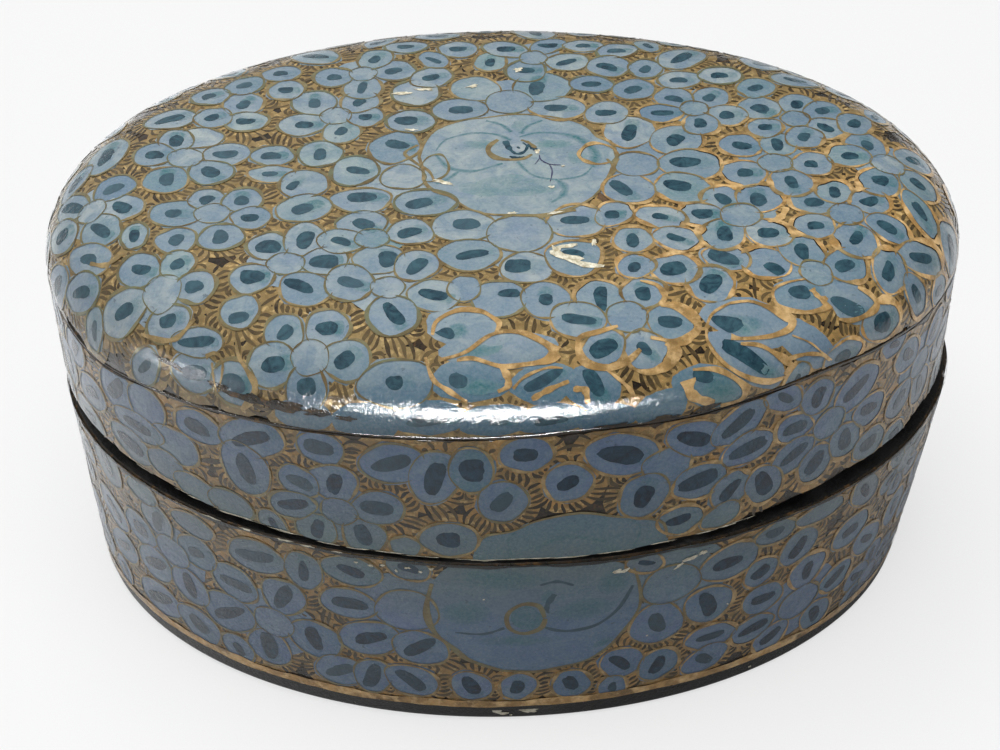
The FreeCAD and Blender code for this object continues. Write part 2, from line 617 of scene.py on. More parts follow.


# The painting of the top, in the thousand-flower manner: black hatching on gold ochre fills the ground,
# and each petal is a blue oval with a dark slate dab, laid on a blue silhouette and edged in gold.

# A row is a loose petal, or a whole flower: the disc at its heart (x, y, radius) and then its petals.
# A petal is x, y, size along, size across and turn, then its dab's size along, size across, turn and
# how far it lies aside and up, and a 1 where its gold is drawn as separate strokes below. Millimetres and
# degrees: on the top x runs to the right and y to the back, on a wall x runs along it and y is the height.
TOP_FLOWERS = (
    (2.1, -15, 3.5, (-4.4, -13.2, 7, 5.4, 0, 3.4, 2.2, 0, 0.2, 0.4),
     (8.7, -12.8, 6.2, 5.6, 0, 3.5, 1.6, 0, 0, 0.4), (-3.8, -19, 6.6, 5.4, 0, 4, 1.6, 15, 0.2, 0.1),
     (2.7, -21.6, 5.2, 5.2, 0, 3.6, 2.6, 0, -1.2, 0.2), (8.2, -19.8, 6, 6.2, 0, 2.6, 1.9, -30, 0, 0.6)),
    (-12, -2.8, 2.4, (-13.3, 3.9, 6.6, 5.6, 70, 3.2, 1.8, -20, 0.3, 0.7),
     (-18, -1.2, 6, 5, 70, 3.1, 1.5, -20, 0.3, 0.1), (-16.8, -7.6, 6.6, 4.4, 0, 3.6, 2, 0, -0.1, 0.6),
     (-9.3, -8.2, 6.8, 4.6, 0, 3.4, 2, 20, -0.7, -0.3), (-8.4, -1, 5.4, 2.6, 80)),
    (16.5, -1, 2.4, (16.3, 6.3, 6.6, 5.6, 75, 3.8, 1.8, 75), (21.9, 4.5, 6.2, 5.5, 40, 2.8, 2, 60),
     (23.3, -1, 7, 6, 0, 4, 2.2, 0, -0.4, 0.5), (22, -6, 6.4, 5.6, -30, 3.6, 2.2, -20, -0.6, 0.4),
     (15.5, -6, 6, 5, -30, 3.8, 1.8, -55, -0.9, 0), (12.3, 1.5, 4, 3.6, 0)),
    (1.2, 14, 2.6, (-5, 12.5, 6.4, 4.4, 0, 3.2, 1.8, 0), (7.2, 12.4, 6.6, 4.6, 0, 3, 1.6, 0),
     (5.3, 17.5, 7, 6.4, 30, 3.4, 2, 80, -0.5, -0.2), (-3, 17.5, 6, 5, -30)),
    (-11.5, 10, 5.6, 4.4, 0, 3, 2, 0, -0.5, 0.1), (-11, 16.8, 5.5, 5.5, 0),
    (-21.2, 11.6, 1.6, (-24, 14.8, 5, 5, 0, 2.2, 1.6, 90), (-25, 9.7, 5.6, 4.2, 20, 2.4, 1.6, 0),
     (-20.2, 8, 4.5, 4, 90, 2, 1.5, 60), (-17.3, 11.2, 4, 3.6, 0, 1.8, 1.4, 0),
     (-18.3, 14.8, 4.5, 4, 40, 2, 1.4, 50)),
    (-39.4, 2.4, 1.8, (-38, 6.8, 5, 3.8, 0), (-41, 6.3, 4.4, 3.6, 110, 2.6, 1.8, 90),
     (-43.3, 3.1, 4.4, 4.2, 0, 2.4, 1.8, 0), (-34.5, 3, 5, 4.4, 0, 3.2, 1.7, 0),
     (-36, -0.9, 5, 4.4, -30, 2.8, 2, -50), (-41.2, -2.5, 5, 4.8, 80, 2.8, 1.8, 90)),
    (-34.8, -9.9, 1.7, (-39, -9.8, 6, 4.6, 0, 2, 1.7, 0, -0.5, 0), (-35.8, -6.9, 3.6, 3.6, 0, 2, 1.6, 40),
     (-31.5, -7.3, 4.2, 4, 45, 2, 1.8, 90), (-30.2, -11, 4, 3.8, 0, 2.2, 1.6, 0),
     (-33.3, -14.8, 4.6, 4.6, 80, 3, 1.8, 90), (-38.6, -15.2, 4.4, 4.2, 45, 2.4, 1.8, 60)),
    (-40.2, -23.6, 2.2, (-43.2, -19.5, 5.2, 4.2, -25, 2.8, 1.4, -25),
     (-38.3, -19.8, 3.8, 3.8, 0, 2, 1.6, 30), (-35.9, -23.6, 4.2, 4, 0, 2.4, 1.8, 0),
     (-39.5, -27.3, 5.4, 3.4, 0, 2.4, 1.6, 0), (-46, -24, 6.8, 4.6, 0, 3.2, 1.7, 0)),
    (-50.3, -7, 1.6, (-46.2, -7.9, 5, 4, -20, 3, 1.8, -40), (-47.7, -3.7, 4.8, 4.2, 15, 2.8, 1.8, 15),
     (-48.8, -11, 5.4, 4.4, -50, 4, 1.5, -50), (-53.6, -4.4, 6, 3.6, -40, 5, 1.6, -40),
     (-55, -8.4, 6, 4, -50, 2.4, 2, 0)),
    (-44.1, -13.7, 3.8, 2.8, 90, 2.2, 1.4, 90), (-50.6, -14.8, 7, 3.6, -35, 3, 1.4, -35),
    (-52.6, -18.3, 6.2, 4, -25, 3.6, 1.4, -25), (-50, 4.5, 7.5, 5, 80, 4, 2, 80),
    (-54.2, 1, 6, 3, 60, 3, 1.4, 60), (-42.5, 11.5, 6, 4, 10, 4, 1.6, 20),
    (-33.2, 14.6, 4.6, 4.4, 60, 2.2, 1.6, 60), (-32.6, 10.6, 5, 3.6, 0, 2.6, 1.4, 0),
    (-37, 11.6, 4, 3.8, 0, 2, 1.4, 30), (-28.7, 2.6, 4.6, 3.8, 0, 2.6, 1.6, 0),
    (-22.6, 2.8, 5, 4.8, 80, 2.6, 1.6, 90), (-28.5, -1.6, 5, 3, 0, 2, 1.1, 0),
    (-24.2, -4, 5.5, 5.2, 60, 2.2, 1.2, 60, -1.3, -0.2), (-24, -9.2, 6, 4.8, 20, 2.8, 2, 30),
    (-25.2, -20.4, 1.8, (-27.5, -17, 4.6, 4.2, 100, 3, 2.6, 0), (-23.3, -15.7, 6, 4.2, 90, 3.6, 2, 80),
     (-20.8, -20, 4.8, 4.4, 20, 3.4, 2.6, 0), (-22.8, -25, 5.6, 4.8, -40, 4, 1.8, -35, -0.6, 0.4),
     (-28.9, -22.9, 4.4, 4.4, 0, 3, 2.4, 0)),
    (-30.4, -28, 4, 3.6, 0, 2.6, 1.5, 0, 0, -0.8),
    (-13.2, -25.2, 1.6, (-14.5, -20, 5.5, 4.6, 20, 3.2, 2.2, 90, 1.2, 0.2),
     (-10, -21.2, 5.2, 4.4, 80, 3.6, 1.8, 60), (-17.5, -24.2, 6, 4.8, 100, 3.4, 1.8, -25),
     (-8, -26.6, 5.4, 4.8, -10, 3.6, 1.8, -20), (-12.5, -29.7, 5.4, 5, -70, 4, 1.6, -60)),
    (-15.3, -15.6, 1.6, (-16.5, -12.6, 5.4, 4.2, 0, 3, 2, -40), (-11, -14.4, 4.8, 4.2, 10, 3, 1.8, 25),
     (-18.9, -16, 5, 4, -20, 2.6, 1.4, -30)),
    (-22, -34.8, 1.8, (-24.8, -31.5, 4, 3.6, 0, 2.2, 1.6, 45), (-20, -31.4, 4.4, 4.2, 60, 2.6, 1.8, 0),
     (-26.5, -35, 5.2, 4.2, 0, 3, 1.8, 0), (-22.8, -38, 4.6, 4, 0, 2.4, 2, 0),
     (-18, -35.5, 4.8, 4, 0, 2.6, 1.8, 30)),
    (-37.2, -33.7, 6, 3.6, -20, 4, 1.6, -15), (-32, -36, 5, 4.4, -20, 3.4, 2, -20),
    (-36, -30.6, 6.4, 2.6, -15, 5, 1.2, -10), (-0.5, -27.5, 5.6, 5.4, 90, 2.6, 1.5, 0, 1.2, 1),
    (4.8, -27.8, 5.6, 4.6, 90, 2, 1.6, 90), (-4.4, -25.6, 4, 3, 90),
    (-4.6, -31.6, 7.6, 4.6, -4, 2.4, 1.8, 20, -2.1, -1.4, 1), (-0.5, -35, 12.4, 4, 2, 0, 0, 0, 0, 0, 1),
    (-24, -41, 6.4, 3.2, -12, 0, 0, 0, 0, 0, 1), (-16.4, -42.6, 7.4, 3.4, -5, 0, 0, 0, 0, 0, 1),
    (-9, -42.8, 8, 3.2, 0, 5, 1.2, 4, 0, -0.3, 1), (-1.4, -43.4, 7.4, 3, 3, 2.2, 1, 0, 0.6, 0, 1),
    (5.2, -43.4, 8, 3, 5, 4, 1.1, 8, 0, 0, 1), (11.8, -43.2, 6.6, 3, 10, 0, 0, 0, 0, 0, 1),
    (18, -41.6, 5.6, 3.6, 25, 0, 0, 0, 0, 0, 1), (-3.8, -38.6, 8, 3.8, 0, 2.2, 1.7, -15, -1.4, -0.1, 1),
    (-12.4, -38.6, 8, 4.6, 0, 2, 1.6, 0), (4.3, -39, 6.6, 3.8, 10, 5, 1.3, 30, 0.1, 0.3, 1),
    (9.7, -39.4, 5.6, 4.2, -10, 3.6, 1.7, -60, 0.2, 0.6, 1),
    (13.8, -30.5, 1.9, (11, -27.6, 5.6, 4.6, 110, 4.2, 1.5, 90), (15.8, -27, 4.6, 4, 60, 2.4, 1.8, 90),
     (18.6, -31.2, 4.8, 4.2, -10, 2.8, 1.6, 0), (15.6, -34.7, 4.6, 3.8, -50, 2, 1.2, -40),
     (11, -34.7, 4.8, 3.4, 40, 3.4, 2, 30), (8.4, -31, 5.4, 4.4, 0, 4, 1.4, -10)),
    (36, -22.8, 1.5, (30.5, -21.5, 5, 4.6, -30, 3, 1.6, -50, 0.9, -1.2),
     (34.8, -19.4, 4.8, 4.6, 100, 3, 1.6, 90), (39.6, -21, 4.8, 4, 30, 2.8, 1.6, 30),
     (40, -25.9, 6.2, 3.8, -10, 4.6, 2, -6, -0.4, -0.8, 1),
     (33.8, -26, 5.6, 3.6, 20, 2.6, 1.8, 10, -0.2, 0.2, 1)),
    (25.7, -20.5, 4.8, 4, -30, 4, 2.4, -40), (23.6, -25.2, 5.4, 4.6, 70, 3.6, 2.2, 60),
    (19.6, -22.5, 5, 5, 0, 3.2, 2.6, 20),
    (28.5, -12.2, 2, (26.7, -8.5, 4.2, 4, 100, 2.6, 1.6, -60), (31, -8.8, 5, 4.8, 50, 2.8, 2, 90),
     (24, -11.6, 4.6, 3.8, 0, 2.6, 2, 0), (26.2, -15.6, 5.6, 4.4, 70, 3, 1.8, 90),
     (31.4, -15.7, 5, 4.4, -50, 2.6, 2, 0)),
    (41.2, -11.8, 1.7, (37.6, -9.5, 5, 4.2, 160, 2.4, 1.8, 0), (40.4, -7.4, 4.2, 3.6, 90, 2.4, 1.4, 90),
     (44.4, -9.3, 4.4, 4, 40, 2.6, 1.6, 30), (46, -13.5, 5, 3.6, -20, 2.8, 1.6, -30),
     (41.8, -16.3, 5, 4.6, -85, 2.6, 1.4, 60), (37.2, -14.3, 4.2, 4.2, 0, 2, 1.6, 0)),
    (33.8, -0.8, 1.7, (30.2, 3, 4.6, 4.2, 130, 2.6, 1.6, -20), (34.7, 3.2, 4.4, 3.8, 90, 2.8, 1.5, 90),
     (38.3, -1.1, 4.4, 4.2, 0, 1.7, 1.6, 0), (35.4, -5.2, 5, 4.6, -80, 2.8, 1.5, -80),
     (30, -3, 4.8, 4.8, 0, 2, 1.8, 0)),
    (48, -0.8, 1.8, (46, 3, 5, 4.2, 110, 2.4, 1.6, 90), (43.4, 0.6, 4.8, 4.2, 0, 2.2, 1.6, 0),
     (46.4, -4.7, 5.2, 4.4, 70, 2.2, 2, 0), (51.6, -3.6, 5, 4.6, -40, 2.4, 1.7, -40),
     (52, 1.9, 5, 4.4, 30, 2.4, 1.6, 30)),
    (37.5, 9, 1.4, (33.5, 11.6, 4.8, 4.4, -40, 2.4, 2, -45), (33.6, 7.2, 4, 3.4, 0, 1.8, 1.4, 0),
     (38.3, 12.5, 4.4, 4, 80, 2, 1.6, 80), (41.4, 11, 4.4, 4, 0, 2, 1.6, 20),
     (41.2, 7, 4.2, 3.6, -45, 2.6, 1.4, -45), (38.2, 5, 4.2, 4, 60, 2, 1.5, 60)),
    (45.2, 8.2, 5, 4, 60, 2.4, 1.6, 60),
    (25, 11.8, 1.4, (27.2, 14.4, 4.2, 4, 50, 2, 1.5, 50), (22.6, 14.3, 4.6, 4, -40, 2.6, 1.4, -20),
     (29, 10.2, 4.4, 3.8, -10, 2, 1.8, 0), (25.5, 8.4, 4.2, 3.8, 90, 2.2, 1.6, 90),
     (20.8, 10.8, 5, 3.4, 0, 3, 1.2, 0)),
    (51, -9, 7, 3.4, -62, 3, 1.4, -60), (50.6, -16.5, 7.4, 3.8, 20, 4, 1.4, 20),
    (45.5, -20.4, 5.6, 4, 75, 3, 1.6, 70), (50.2, -21.4, 5, 3.2, -30, 2.4, 1.4, -30),
    (45, -27, 6, 4, 30, 3, 2.4, 20), (27.6, -30.3, 9.6, 4.8, -8, 4, 2.3, 6, -2.8, -0.8, 1),
    (34.4, -32, 8.6, 3.6, -20, 0, 0, 0, 0, 0, 1),
    (27.9, -34.9, 9.6, 3.8, -25, 6.6, 1.8, -25, -0.5, 0.3, 1),
    (23.6, -38.6, 8.8, 4, -6, 2.6, 1.5, -10, -1.2, 1.2, 1), (40.4, -32.4, 5.4, 3.4, 35, 2.6, 1.5, 30),
    (13.6, 11, 5, 4.4, 30, 2.8, 1.4, 0), (13.2, -11.4, 4.4, 3.4, 60, 1.8, 1.6, 0),
    (18.9, -12, 5.5, 3.6, -20, 2, 1.2, -20), (15.3, -16.7, 4.4, 3.8, 90, 2.8, 1.5, 90),
    (20.4, -16.4, 5, 3.8, -30, 2.4, 1.2, -30), (15.2, -22, 4, 3.4, 70, 2, 1.4, 70),
    (-18, 21.8, 1.4, (-18, 18.4, 4.6, 4.4, -90, 3, 1.2, 80), (-14, 22.5, 5, 4.2, 0, 2.4, 1.5, 20),
     (-21.8, 21.2, 4.4, 4, 0, 2, 1.5, 0), (-16.6, 25.4, 4.6, 3.6, 60, 2, 1.4, 60)),
    (-9, 20.6, 5, 4, 20, 2.4, 1.4, 20), (-12.6, 28.8, 5, 3, 0, 2.4, 1.2, 0),
    (-5.5, 27.8, 4.6, 3.6, 0, 2.4, 1.3, 0), (-1.2, 24.2, 4, 3.6, 90, 2, 1.3, 80),
    (4.6, 25.2, 1.4, (1, 27.5, 5.5, 3.4, -20, 2.6, 1.4, 0), (6.6, 28.4, 4.8, 3, 40, 2.8, 1.2, 0),
     (3.6, 22, 5, 4.4, 0, 2.2, 1.4, 0), (9, 24, 5, 3.6, 0, 3, 1.2, 25)),
    (11.4, 28.4, 4.6, 3, 0, 2, 1.2, 0), (15.8, 26.8, 5, 3.2, 20, 2.6, 1.2, 0),
    (14.4, 22.6, 5, 4.6, 0, 3, 1.6, -35), (19.4, 21.8, 4, 3.6, 90, 2, 1.4, 60),
    (12, 18.2, 5, 3.4, -10, 2.6, 1.3, 0), (17.4, 16.6, 4.8, 4.4, 30, 2.6, 1.6, 30),
    (23.5, 19, 5, 3.5, 10, 2.4, 1.3, 0), (29, 20, 5, 3.6, 0, 2.4, 1.4, 0),
    (33.4, 16.6, 4.6, 3.8, 40, 2.2, 1.4, 30), (-28, 18, 4, 4, 0, 2, 1.5, 0),
    (-33.6, 19.4, 4.6, 3.8, 30, 2.2, 1.4, 20), (-29, 22.4, 4.6, 3.4, 10, 2, 1.3, 0),
    (-38, 17, 4.4, 3.8, 0, 2, 1.4, 20),
)
LID_WALL_FLOWERS = (
    (-50.5, 43.4, 6.6, 5.4, 50, 5, 2, 50), (-45.2, 43.4, 6, 5.2, 90), (-41.3, 39.4, 6.5, 4.6, -10),
    (-47.5, 39.3, 8, 3.6, 0, 5, 1.6, 0), (-49.5, 35.4, 7, 4.2, -10, 5, 2, -10), (-43.5, 35.3, 5, 3.8, 0),
    (-37.4, 44, 6, 4.4, 0, 3.6, 2.2, -10), (-30, 45, 8.5, 4.8, 20, 6, 1.8, 30),
    (-31.2, 39.7, 7.5, 5.6, 100, 4.6, 2.2, 105), (-39, 33.6, 6, 3.4, -15), (-34, 33.2, 5.5, 3.4, -10),
    (-60, 44, 6, 4.4, 60, 3.4, 1.6, 60), (-57, 39, 6, 4.4, 20, 3.4, 1.6, 20),
    (-63.5, 39.4, 6, 4.4, 100, 3.4, 1.6, 100), (-21.4, 46, 4.8, 4, 0, 3.6, 2.2, 0),
    (-19.7, 36.4, 1.8, (-20, 40.7, 5, 5, 75, 3.4, 1.8, 75), (-22.6, 32.9, 4.6, 4.2, 60, 3.2, 1.6, 75),
     (-17, 33.1, 4.8, 4.4, -60, 3.4, 2, -75), (-15, 37.8, 5.6, 4.4, 15, 4, 2.2, 0),
     (-24.2, 40, 4.4, 3.8, -30, 3.4, 1.8, -20), (-25.4, 36, 5.5, 3.4, 20, 4.3, 1.6, 20)),
    (-13, 45, 7, 5, 15, 5, 2, 25), (-8.2, 43.2, 7.4, 4.8, 75, 5.2, 2.2, 75),
    (-3.9, 44.6, 6, 4.2, 90, 3.4, 2.8, 90), (-12, 32, 3, 2.5, 0), (-6.8, 33.7, 6, 4.8, 0, 2.8, 2.4, 0),
    (2.2, 46.9, 5.4, 4.2, 0, 2.8, 2, 0), (-0.5, 39.8, 5.4, 5, 60, 3.4, 2, 55),
    (7, 42.3, 5, 4.8, 60, 2.8, 1.8, 30), (13, 45.8, 8, 5.4, -15, 5.4, 2.6, -15), (18.4, 43, 5, 4.4, 0),
    (21.5, 46.4, 6.4, 4.2, -25, 4.4, 2, -25), (15.8, 38.9, 6, 5, 70, 3.4, 2.2, 70),
    (22.4, 39.7, 6, 4.4, 15, 5, 2.4, 15), (27, 47, 7, 4, 35, 5, 1.8, 40), (28.4, 42.8, 6, 4, 15, 5, 2, 15),
    (39.8, 42, 2, (34.7, 43.6, 4.6, 3.4, 160, 3.4, 1.8, 0), (37.5, 47, 4.4, 4, 100, 3, 1.8, 75),
     (43.7, 45.3, 7, 5, 30, 4.4, 1.8, 30), (35, 39.3, 5.4, 4.2, 30, 4.2, 1.6, 30),
     (38.4, 36.4, 5.2, 4.2, -100, 3.6, 2.2, 55), (42.8, 37.9, 5.2, 4.2, -60, 3.4, 2, -80),
     (46.6, 40.6, 5, 4, -20, 3.2, 1.7, -15)),
    (26.5, 37, 5, 4, 50, 3.6, 1.6, 50), (31, 36.4, 5.4, 4.2, -70, 4.2, 2.2, -70),
    (47.4, 34.6, 5, 4, 0, 3, 2, 0), (25.5, 33.2, 4.6, 2.8, 20),
    (57, 41.5, 1.8, (53, 38.4, 5, 4, 40, 3, 1.6, 40), (58, 37.4, 5, 4, -80, 3, 1.6, -80),
     (53.4, 45, 5, 4, -40, 3, 1.6, -40), (60.4, 44.6, 5, 4, 45, 3, 1.6, 45)),
)
BASE_WALL_FLOWERS = (
    (-30, 14, 2.4, (-35, 19, 6.2, 5.4, -45, 4.8, 1.8, -5), (-28.2, 19.4, 6, 5, 70, 5, 2, 65),
     (-36.8, 12.6, 7.5, 6.2, 20, 6, 1.8, 35), (-31.2, 8.7, 6, 5.4, 80, 5.2, 2.4, 95),
     (-24.6, 12.8, 6.6, 6, -10, 4.4, 2, -75)),
    (-31.5, 25.6, 7, 5, 5, 5.4, 1.8, 10),
    (-45, 19.5, 2.4, (-46.8, 24, 5.4, 4.6, 105, 4, 1.8, 75), (-40.6, 21.9, 5.4, 5, 30, 2.6, 1.6, 10),
     (-51, 19.8, 5.5, 5, 0, 3, 2.4, 0), (-49.2, 14.6, 6.4, 5.2, 50, 5, 2, 25),
     (-43, 14.4, 6, 5.2, -75, 4.6, 2, -80)),
    (-50, 7.4, 8, 5.4, 10, 6, 2, 25), (-42.7, 7, 6.6, 5.6, -20, 3.6, 2.4, -40), (-49, 28, 5, 3, 0),
    (-19, 27, 6.8, 4.4, -5, 3.6, 1.6, -20), (-40.5, 27, 6, 3.2, -4),
    (-12.3, 21, 3.5, (-19.4, 21, 6.6, 4.6, 0, 4.6, 2, 0), (-17, 15.1, 7.4, 5.4, 25, 4.6, 2, 25),
     (-10.8, 14.4, 6.6, 5.2, -20, 5, 2, 40)),
    (-21.5, 7.5, 6, 5, 20, 4.6, 1.8, 35), (-17, 7.6, 6.2, 4, 80, 5, 2, 75),
    (-12, 7.7, 6.4, 5, -30, 5, 2, -45), (-4.4, 7.4, 5.2, 4.2, -65, 3.8, 2, -65),
    (1.6, 6.9, 4.4, 4, 80, 2.6, 1.8, 80), (8.4, 7, 5, 4.2, -65, 3, 1.8, -65),
    (14.6, 10, 5.4, 4.6, -40, 4, 1.6, -50),
    (19.8, 23.7, 3.3, (18.6, 16.7, 7.2, 6, -75, 4, 2, -70), (25.2, 18.1, 6.5, 5.6, -50, 5, 2, -70),
     (26.9, 25, 7, 5.6, 10, 4, 2, 10)),
    (19.8, 8, 5.6, 4.6, 75, 3.6, 1.8, 75), (26.5, 11.2, 6.6, 4.2, -10, 4, 1.4, 0),
    (26.3, 6.8, 6, 4.2, 30, 3, 1.6, -40), (32, 21, 4.4, 4, 90, 2.8, 2, 40),
    (32.8, 27.8, 5, 3.2, 0, 2.6, 1.6, 0), (37.2, 23, 5.4, 4.8, 60, 3.8, 1.8, 65), (39.5, 28, 7, 2.8, 0),
    (39.6, 11.4, 2.8, (33.4, 15.4, 5.4, 4.8, 150, 3.6, 1.8, 0), (39.8, 17.2, 5.6, 5, 90, 3.4, 1.6, 90),
     (33, 9.9, 5.6, 4.2, 15, 4.4, 1.8, 10), (36.4, 6.5, 5.2, 4, 50, 3.6, 1.8, 35),
     (43.6, 6.7, 5, 4.4, -60, 3.4, 1.8, -70), (46, 12.2, 5.2, 4.6, 10, 3.8, 1.8, 35)),
    (46.5, 20.5, 6, 5, 20, 3, 1.8, 10),
)


def read_petals(flowers):
    """Columns of all petals, with each flower's disc as one more petal, in millimetres."""
    rows = []
    for heart_x, heart_y, heart_size, *petals in flowers:
        for x, y, along, across, turn, *dab in petals:
            dab = list(dab) + [0] * (6 - len(dab))
            heading = math.atan2(y - heart_y, x - heart_x) if heart_size else math.radians(turn)
            turn = heading if heart_size and turn == 0 and abs(along - across) < 0.7 else math.radians(turn)
            rows.append((x, y, along / 2, across / 2, turn, heading, 0.13 if heart_size else 0.06,
                         dab[0] / 2, dab[1] / 2, math.radians(dab[2]), dab[3], dab[4], 0, dab[5]))
        if heart_size:
            plate = np.mean([math.hypot(petal[0] - heart_x, petal[1] - heart_y) for petal in petals])
            rows.append((heart_x, heart_y, heart_size, heart_size * 0.93) + (0,) * 8 + (plate, 0))
    names = ("x", "y", "along", "across", "turn", "heading", "egg",
             "dab_along", "dab_across", "dab_turn", "dab_x", "dab_y", "plate", "bare")
    return dict(zip(names, np.array(rows, float).T))


def clearance(petals, x, y):
    """Rough distance from points to the edge of each petal, negative inside."""
    x = np.asarray(x)[..., None] - petals["x"]
    y = np.asarray(y)[..., None] - petals["y"]
    cosine, sine = np.cos(petals["turn"]), np.sin(petals["turn"])
    along = (x * cosine + y * sine) / petals["along"]
    across = (y * cosine - x * sine) / petals["across"]
    share = np.sqrt(along ** 2 + across ** 2) + 1e-6
    return np.sqrt(x ** 2 + y ** 2) * (1 - 1 / share)


def fill_flowers(flowers, free, spots, chance, roses=()):
    """Add whole flowers, then single petals of falling size, wherever free places leave room."""
    flowers = [row if isinstance(row[3], tuple) else (0, 0, 0, row) for row in flowers]
    roses = [(0, 0, 0, (*rose, 0)) for rose in roses]
    petals = read_petals(flowers + roses)
    for size, gap, tries in ((6.6, 0.7, 900), (5.9, 0.7, 900), (5.2, 0.6, 900)):
        for _ in range(tries):
            x, y = spots(chance)
            if not free(x, y, size) or clearance(petals, x, y).min() < size + gap:
                continue
            count = int(chance.integers(5, 7))
            heart = size * chance.uniform(0.25, 0.31)
            first = chance.uniform(0, 2 * math.pi)
            flower = [x, y, heart]
            for number in range(count):
                bearing = first + (number + chance.uniform(-0.1, 0.1)) * 2 * math.pi / count
                long = (size - heart) * chance.uniform(0.98, 1.1)
                wide = long * chance.uniform(0.84, 1.0) * (1.0 if count == 5 else 0.86)
                away = size - long / 2
                turn = math.degrees(bearing)
                flower.append((x + away * math.cos(bearing), y + away * math.sin(bearing), long, wide, turn,
                               long * chance.uniform(0.5, 0.66), wide * chance.uniform(0.32, 0.42),
                               turn + chance.uniform(-14, 14), chance.uniform(-0.2, 0.2), 0))
            flowers.append(tuple(flower))
            petals = read_petals(flowers + roses)
    bearings = np.linspace(0, 2 * math.pi, 13)[:-1]
    for long, gap, tries in ((3.4, 0.8, 1600), (2.9, 0.75, 2200), (2.4, 0.7, 2800), (2.0, 0.65, 3000)):
        for _ in range(tries):
            x, y = spots(chance)
            wide = long * chance.uniform(0.62, 0.86)
            turn = chance.uniform(0, math.pi)
            if not free(x, y, wide) or clearance(petals, x, y).min() < wide + gap:
                continue
            edge_x = x + (long + gap) * np.cos(bearings) * math.cos(turn)
            edge_x = edge_x - (wide + gap) * np.sin(bearings) * math.sin(turn)
            edge_y = y + (long + gap) * np.cos(bearings) * math.sin(turn)
            edge_y = edge_y + (wide + gap) * np.sin(bearings) * math.cos(turn)
            if clearance(petals, edge_x, edge_y).min() < 0:
                continue
            turn = math.degrees(turn)
            flowers.append((0, 0, 0, (x, y, 2 * long, 2 * wide, turn, long * chance.uniform(1, 1.3),
                                      wide * chance.uniform(0.6, 0.8), turn + chance.uniform(-12, 12))))
            petals = read_petals(flowers + roses)
    return flowers


def edges(petals, bearings, grow):
    """Points round every petal at the given bearings, grown outwards."""
    swell = 1 + sum(petals["wave"][:, number, None] * np.cos((number + 2) * bearings
                    + petals["phase"][:, number, None]) for number in range(3))
    along = petals["along"][:, None] * swell * np.cos(bearings)
    across = petals["across"][:, None] * swell * np.sin(bearings)
    cosine, sine = np.cos(petals["turn"])[:, None], np.sin(petals["turn"])[:, None]
    x, y = along * cosine - across * sine, along * sine + across * cosine
    cosine, sine = np.cos(petals["heading"])[:, None], np.sin(petals["heading"])[:, None]
    out, side = x * cosine + y * sine, y * cosine - x * sine
    side = side * (1 + petals["egg"][:, None] * out / petals["along"][:, None])
    x, y = out * cosine - side * sine, out * sine + side * cosine
    reach = np.hypot(x, y)
    grow = 1 + np.asarray(grow) / reach
    return x * grow, y * grow


def copies_of(master, name, u, v, surface, lift, marks, paint):
    """One mesh of many copies of a master patch laid on a surface, with smooth outward shading."""
    count, corners = u.shape
    place = surface(u, v)
    outward = facing(surface, u, v)
    place = (place + outward * lift[..., None]).reshape(-1, 3)
    faces = [tuple(face.vertices) for face in master.data.polygons]
    loops = np.concatenate([np.array(face) for face in faces])
    sizes = np.array([len(face) for face in faces])
    all_loops = (loops[None, :] + corners * np.arange(count)[:, None]).ravel()
    starts = np.concatenate([[0], np.cumsum(sizes)[:-1]])
    all_starts = (starts[None, :] + len(loops) * np.arange(count)[:, None]).ravel()
    mesh = bpy.data.meshes.new(name)
    mesh.vertices.add(len(place))
    mesh.vertices.foreach_set("co", place.astype(np.float32).ravel())
    mesh.loops.add(len(all_loops))
    mesh.loops.foreach_set("vertex_index", all_loops.astype(np.int32))
    mesh.polygons.add(len(all_starts))
    mesh.polygons.foreach_set("loop_start", all_starts.astype(np.int32))
    mesh.update(calc_edges=True)
    mesh.validate()
    for key, values in marks.items():
        layer = mesh.attributes.new(key, "FLOAT", "POINT")
        layer.data.foreach_set("value", np.broadcast_to(values, u.shape).astype(np.float32).ravel())
    mesh.shade_smooth()
    mesh.normals_split_custom_set_from_vertices(outward.reshape(-1, 3))
    mesh.materials.append(paint)
    piece = bpy.data.objects.new(name, mesh)
    bpy.context.scene.collection.objects.link(piece)
    return piece


patch_corners = 18
patch_master = disc_sheet("patch", patch_corners, 3)
patch_points = flat_places(patch_master)
patch_reach = np.linalg.norm(patch_points, axis=1)
patch_bearing = np.arctan2(patch_points[:, 1], patch_points[:, 0])
patch_corner = np.rint(patch_bearing / (2 * math.pi / patch_corners)).astype(int) % patch_corners

ring_master = new_circle("ring", 28)
bpy.ops.mesh.extrude_region_move()
bpy.ops.transform.resize(value=(2, 2, 1), center_override=(0, 0, 0))
bpy.ops.mesh.select_all(action="SELECT")
bpy.ops.mesh.normals_make_consistent(inside=False)
bpy.ops.object.mode_set(mode="OBJECT")
ring_points = flat_places(ring_master)
ring_side = np.where(np.linalg.norm(ring_points, axis=1) > 1.5, 1.0, -1.0)
ring_bearing = np.arctan2(ring_points[:, 1], ring_points[:, 0])
if ring_master.data.polygons[0].normal.z < 0:
    ring_master.data.flip_normals()

deselect()
bpy.ops.mesh.primitive_grid_add(x_subdivisions=10, y_subdivisions=1, size=2)
stroke_master = take("stroke")
stroke_points = flat_places(stroke_master)
stroke_along = (stroke_points[:, 0] + 1) / 2
stroke_side = stroke_points[:, 1]

edge_out = 0.45
margin = edge_out + 0.35
ochre_rim = 1.45
hatch_pitch, shortest_rung, longest_rung = 0.74, 0.3, 4.2
rung_slant = 0.38
near_petals = 14
OCHRE, HATCH, SILHOUETTE, PETAL, TAIL, DAB, CRESCENT, GOLD = (
    lift * MM for lift in (0.03, 0.043, 0.056, 0.072, 0.09, 0.105, 0.12, 0.135))


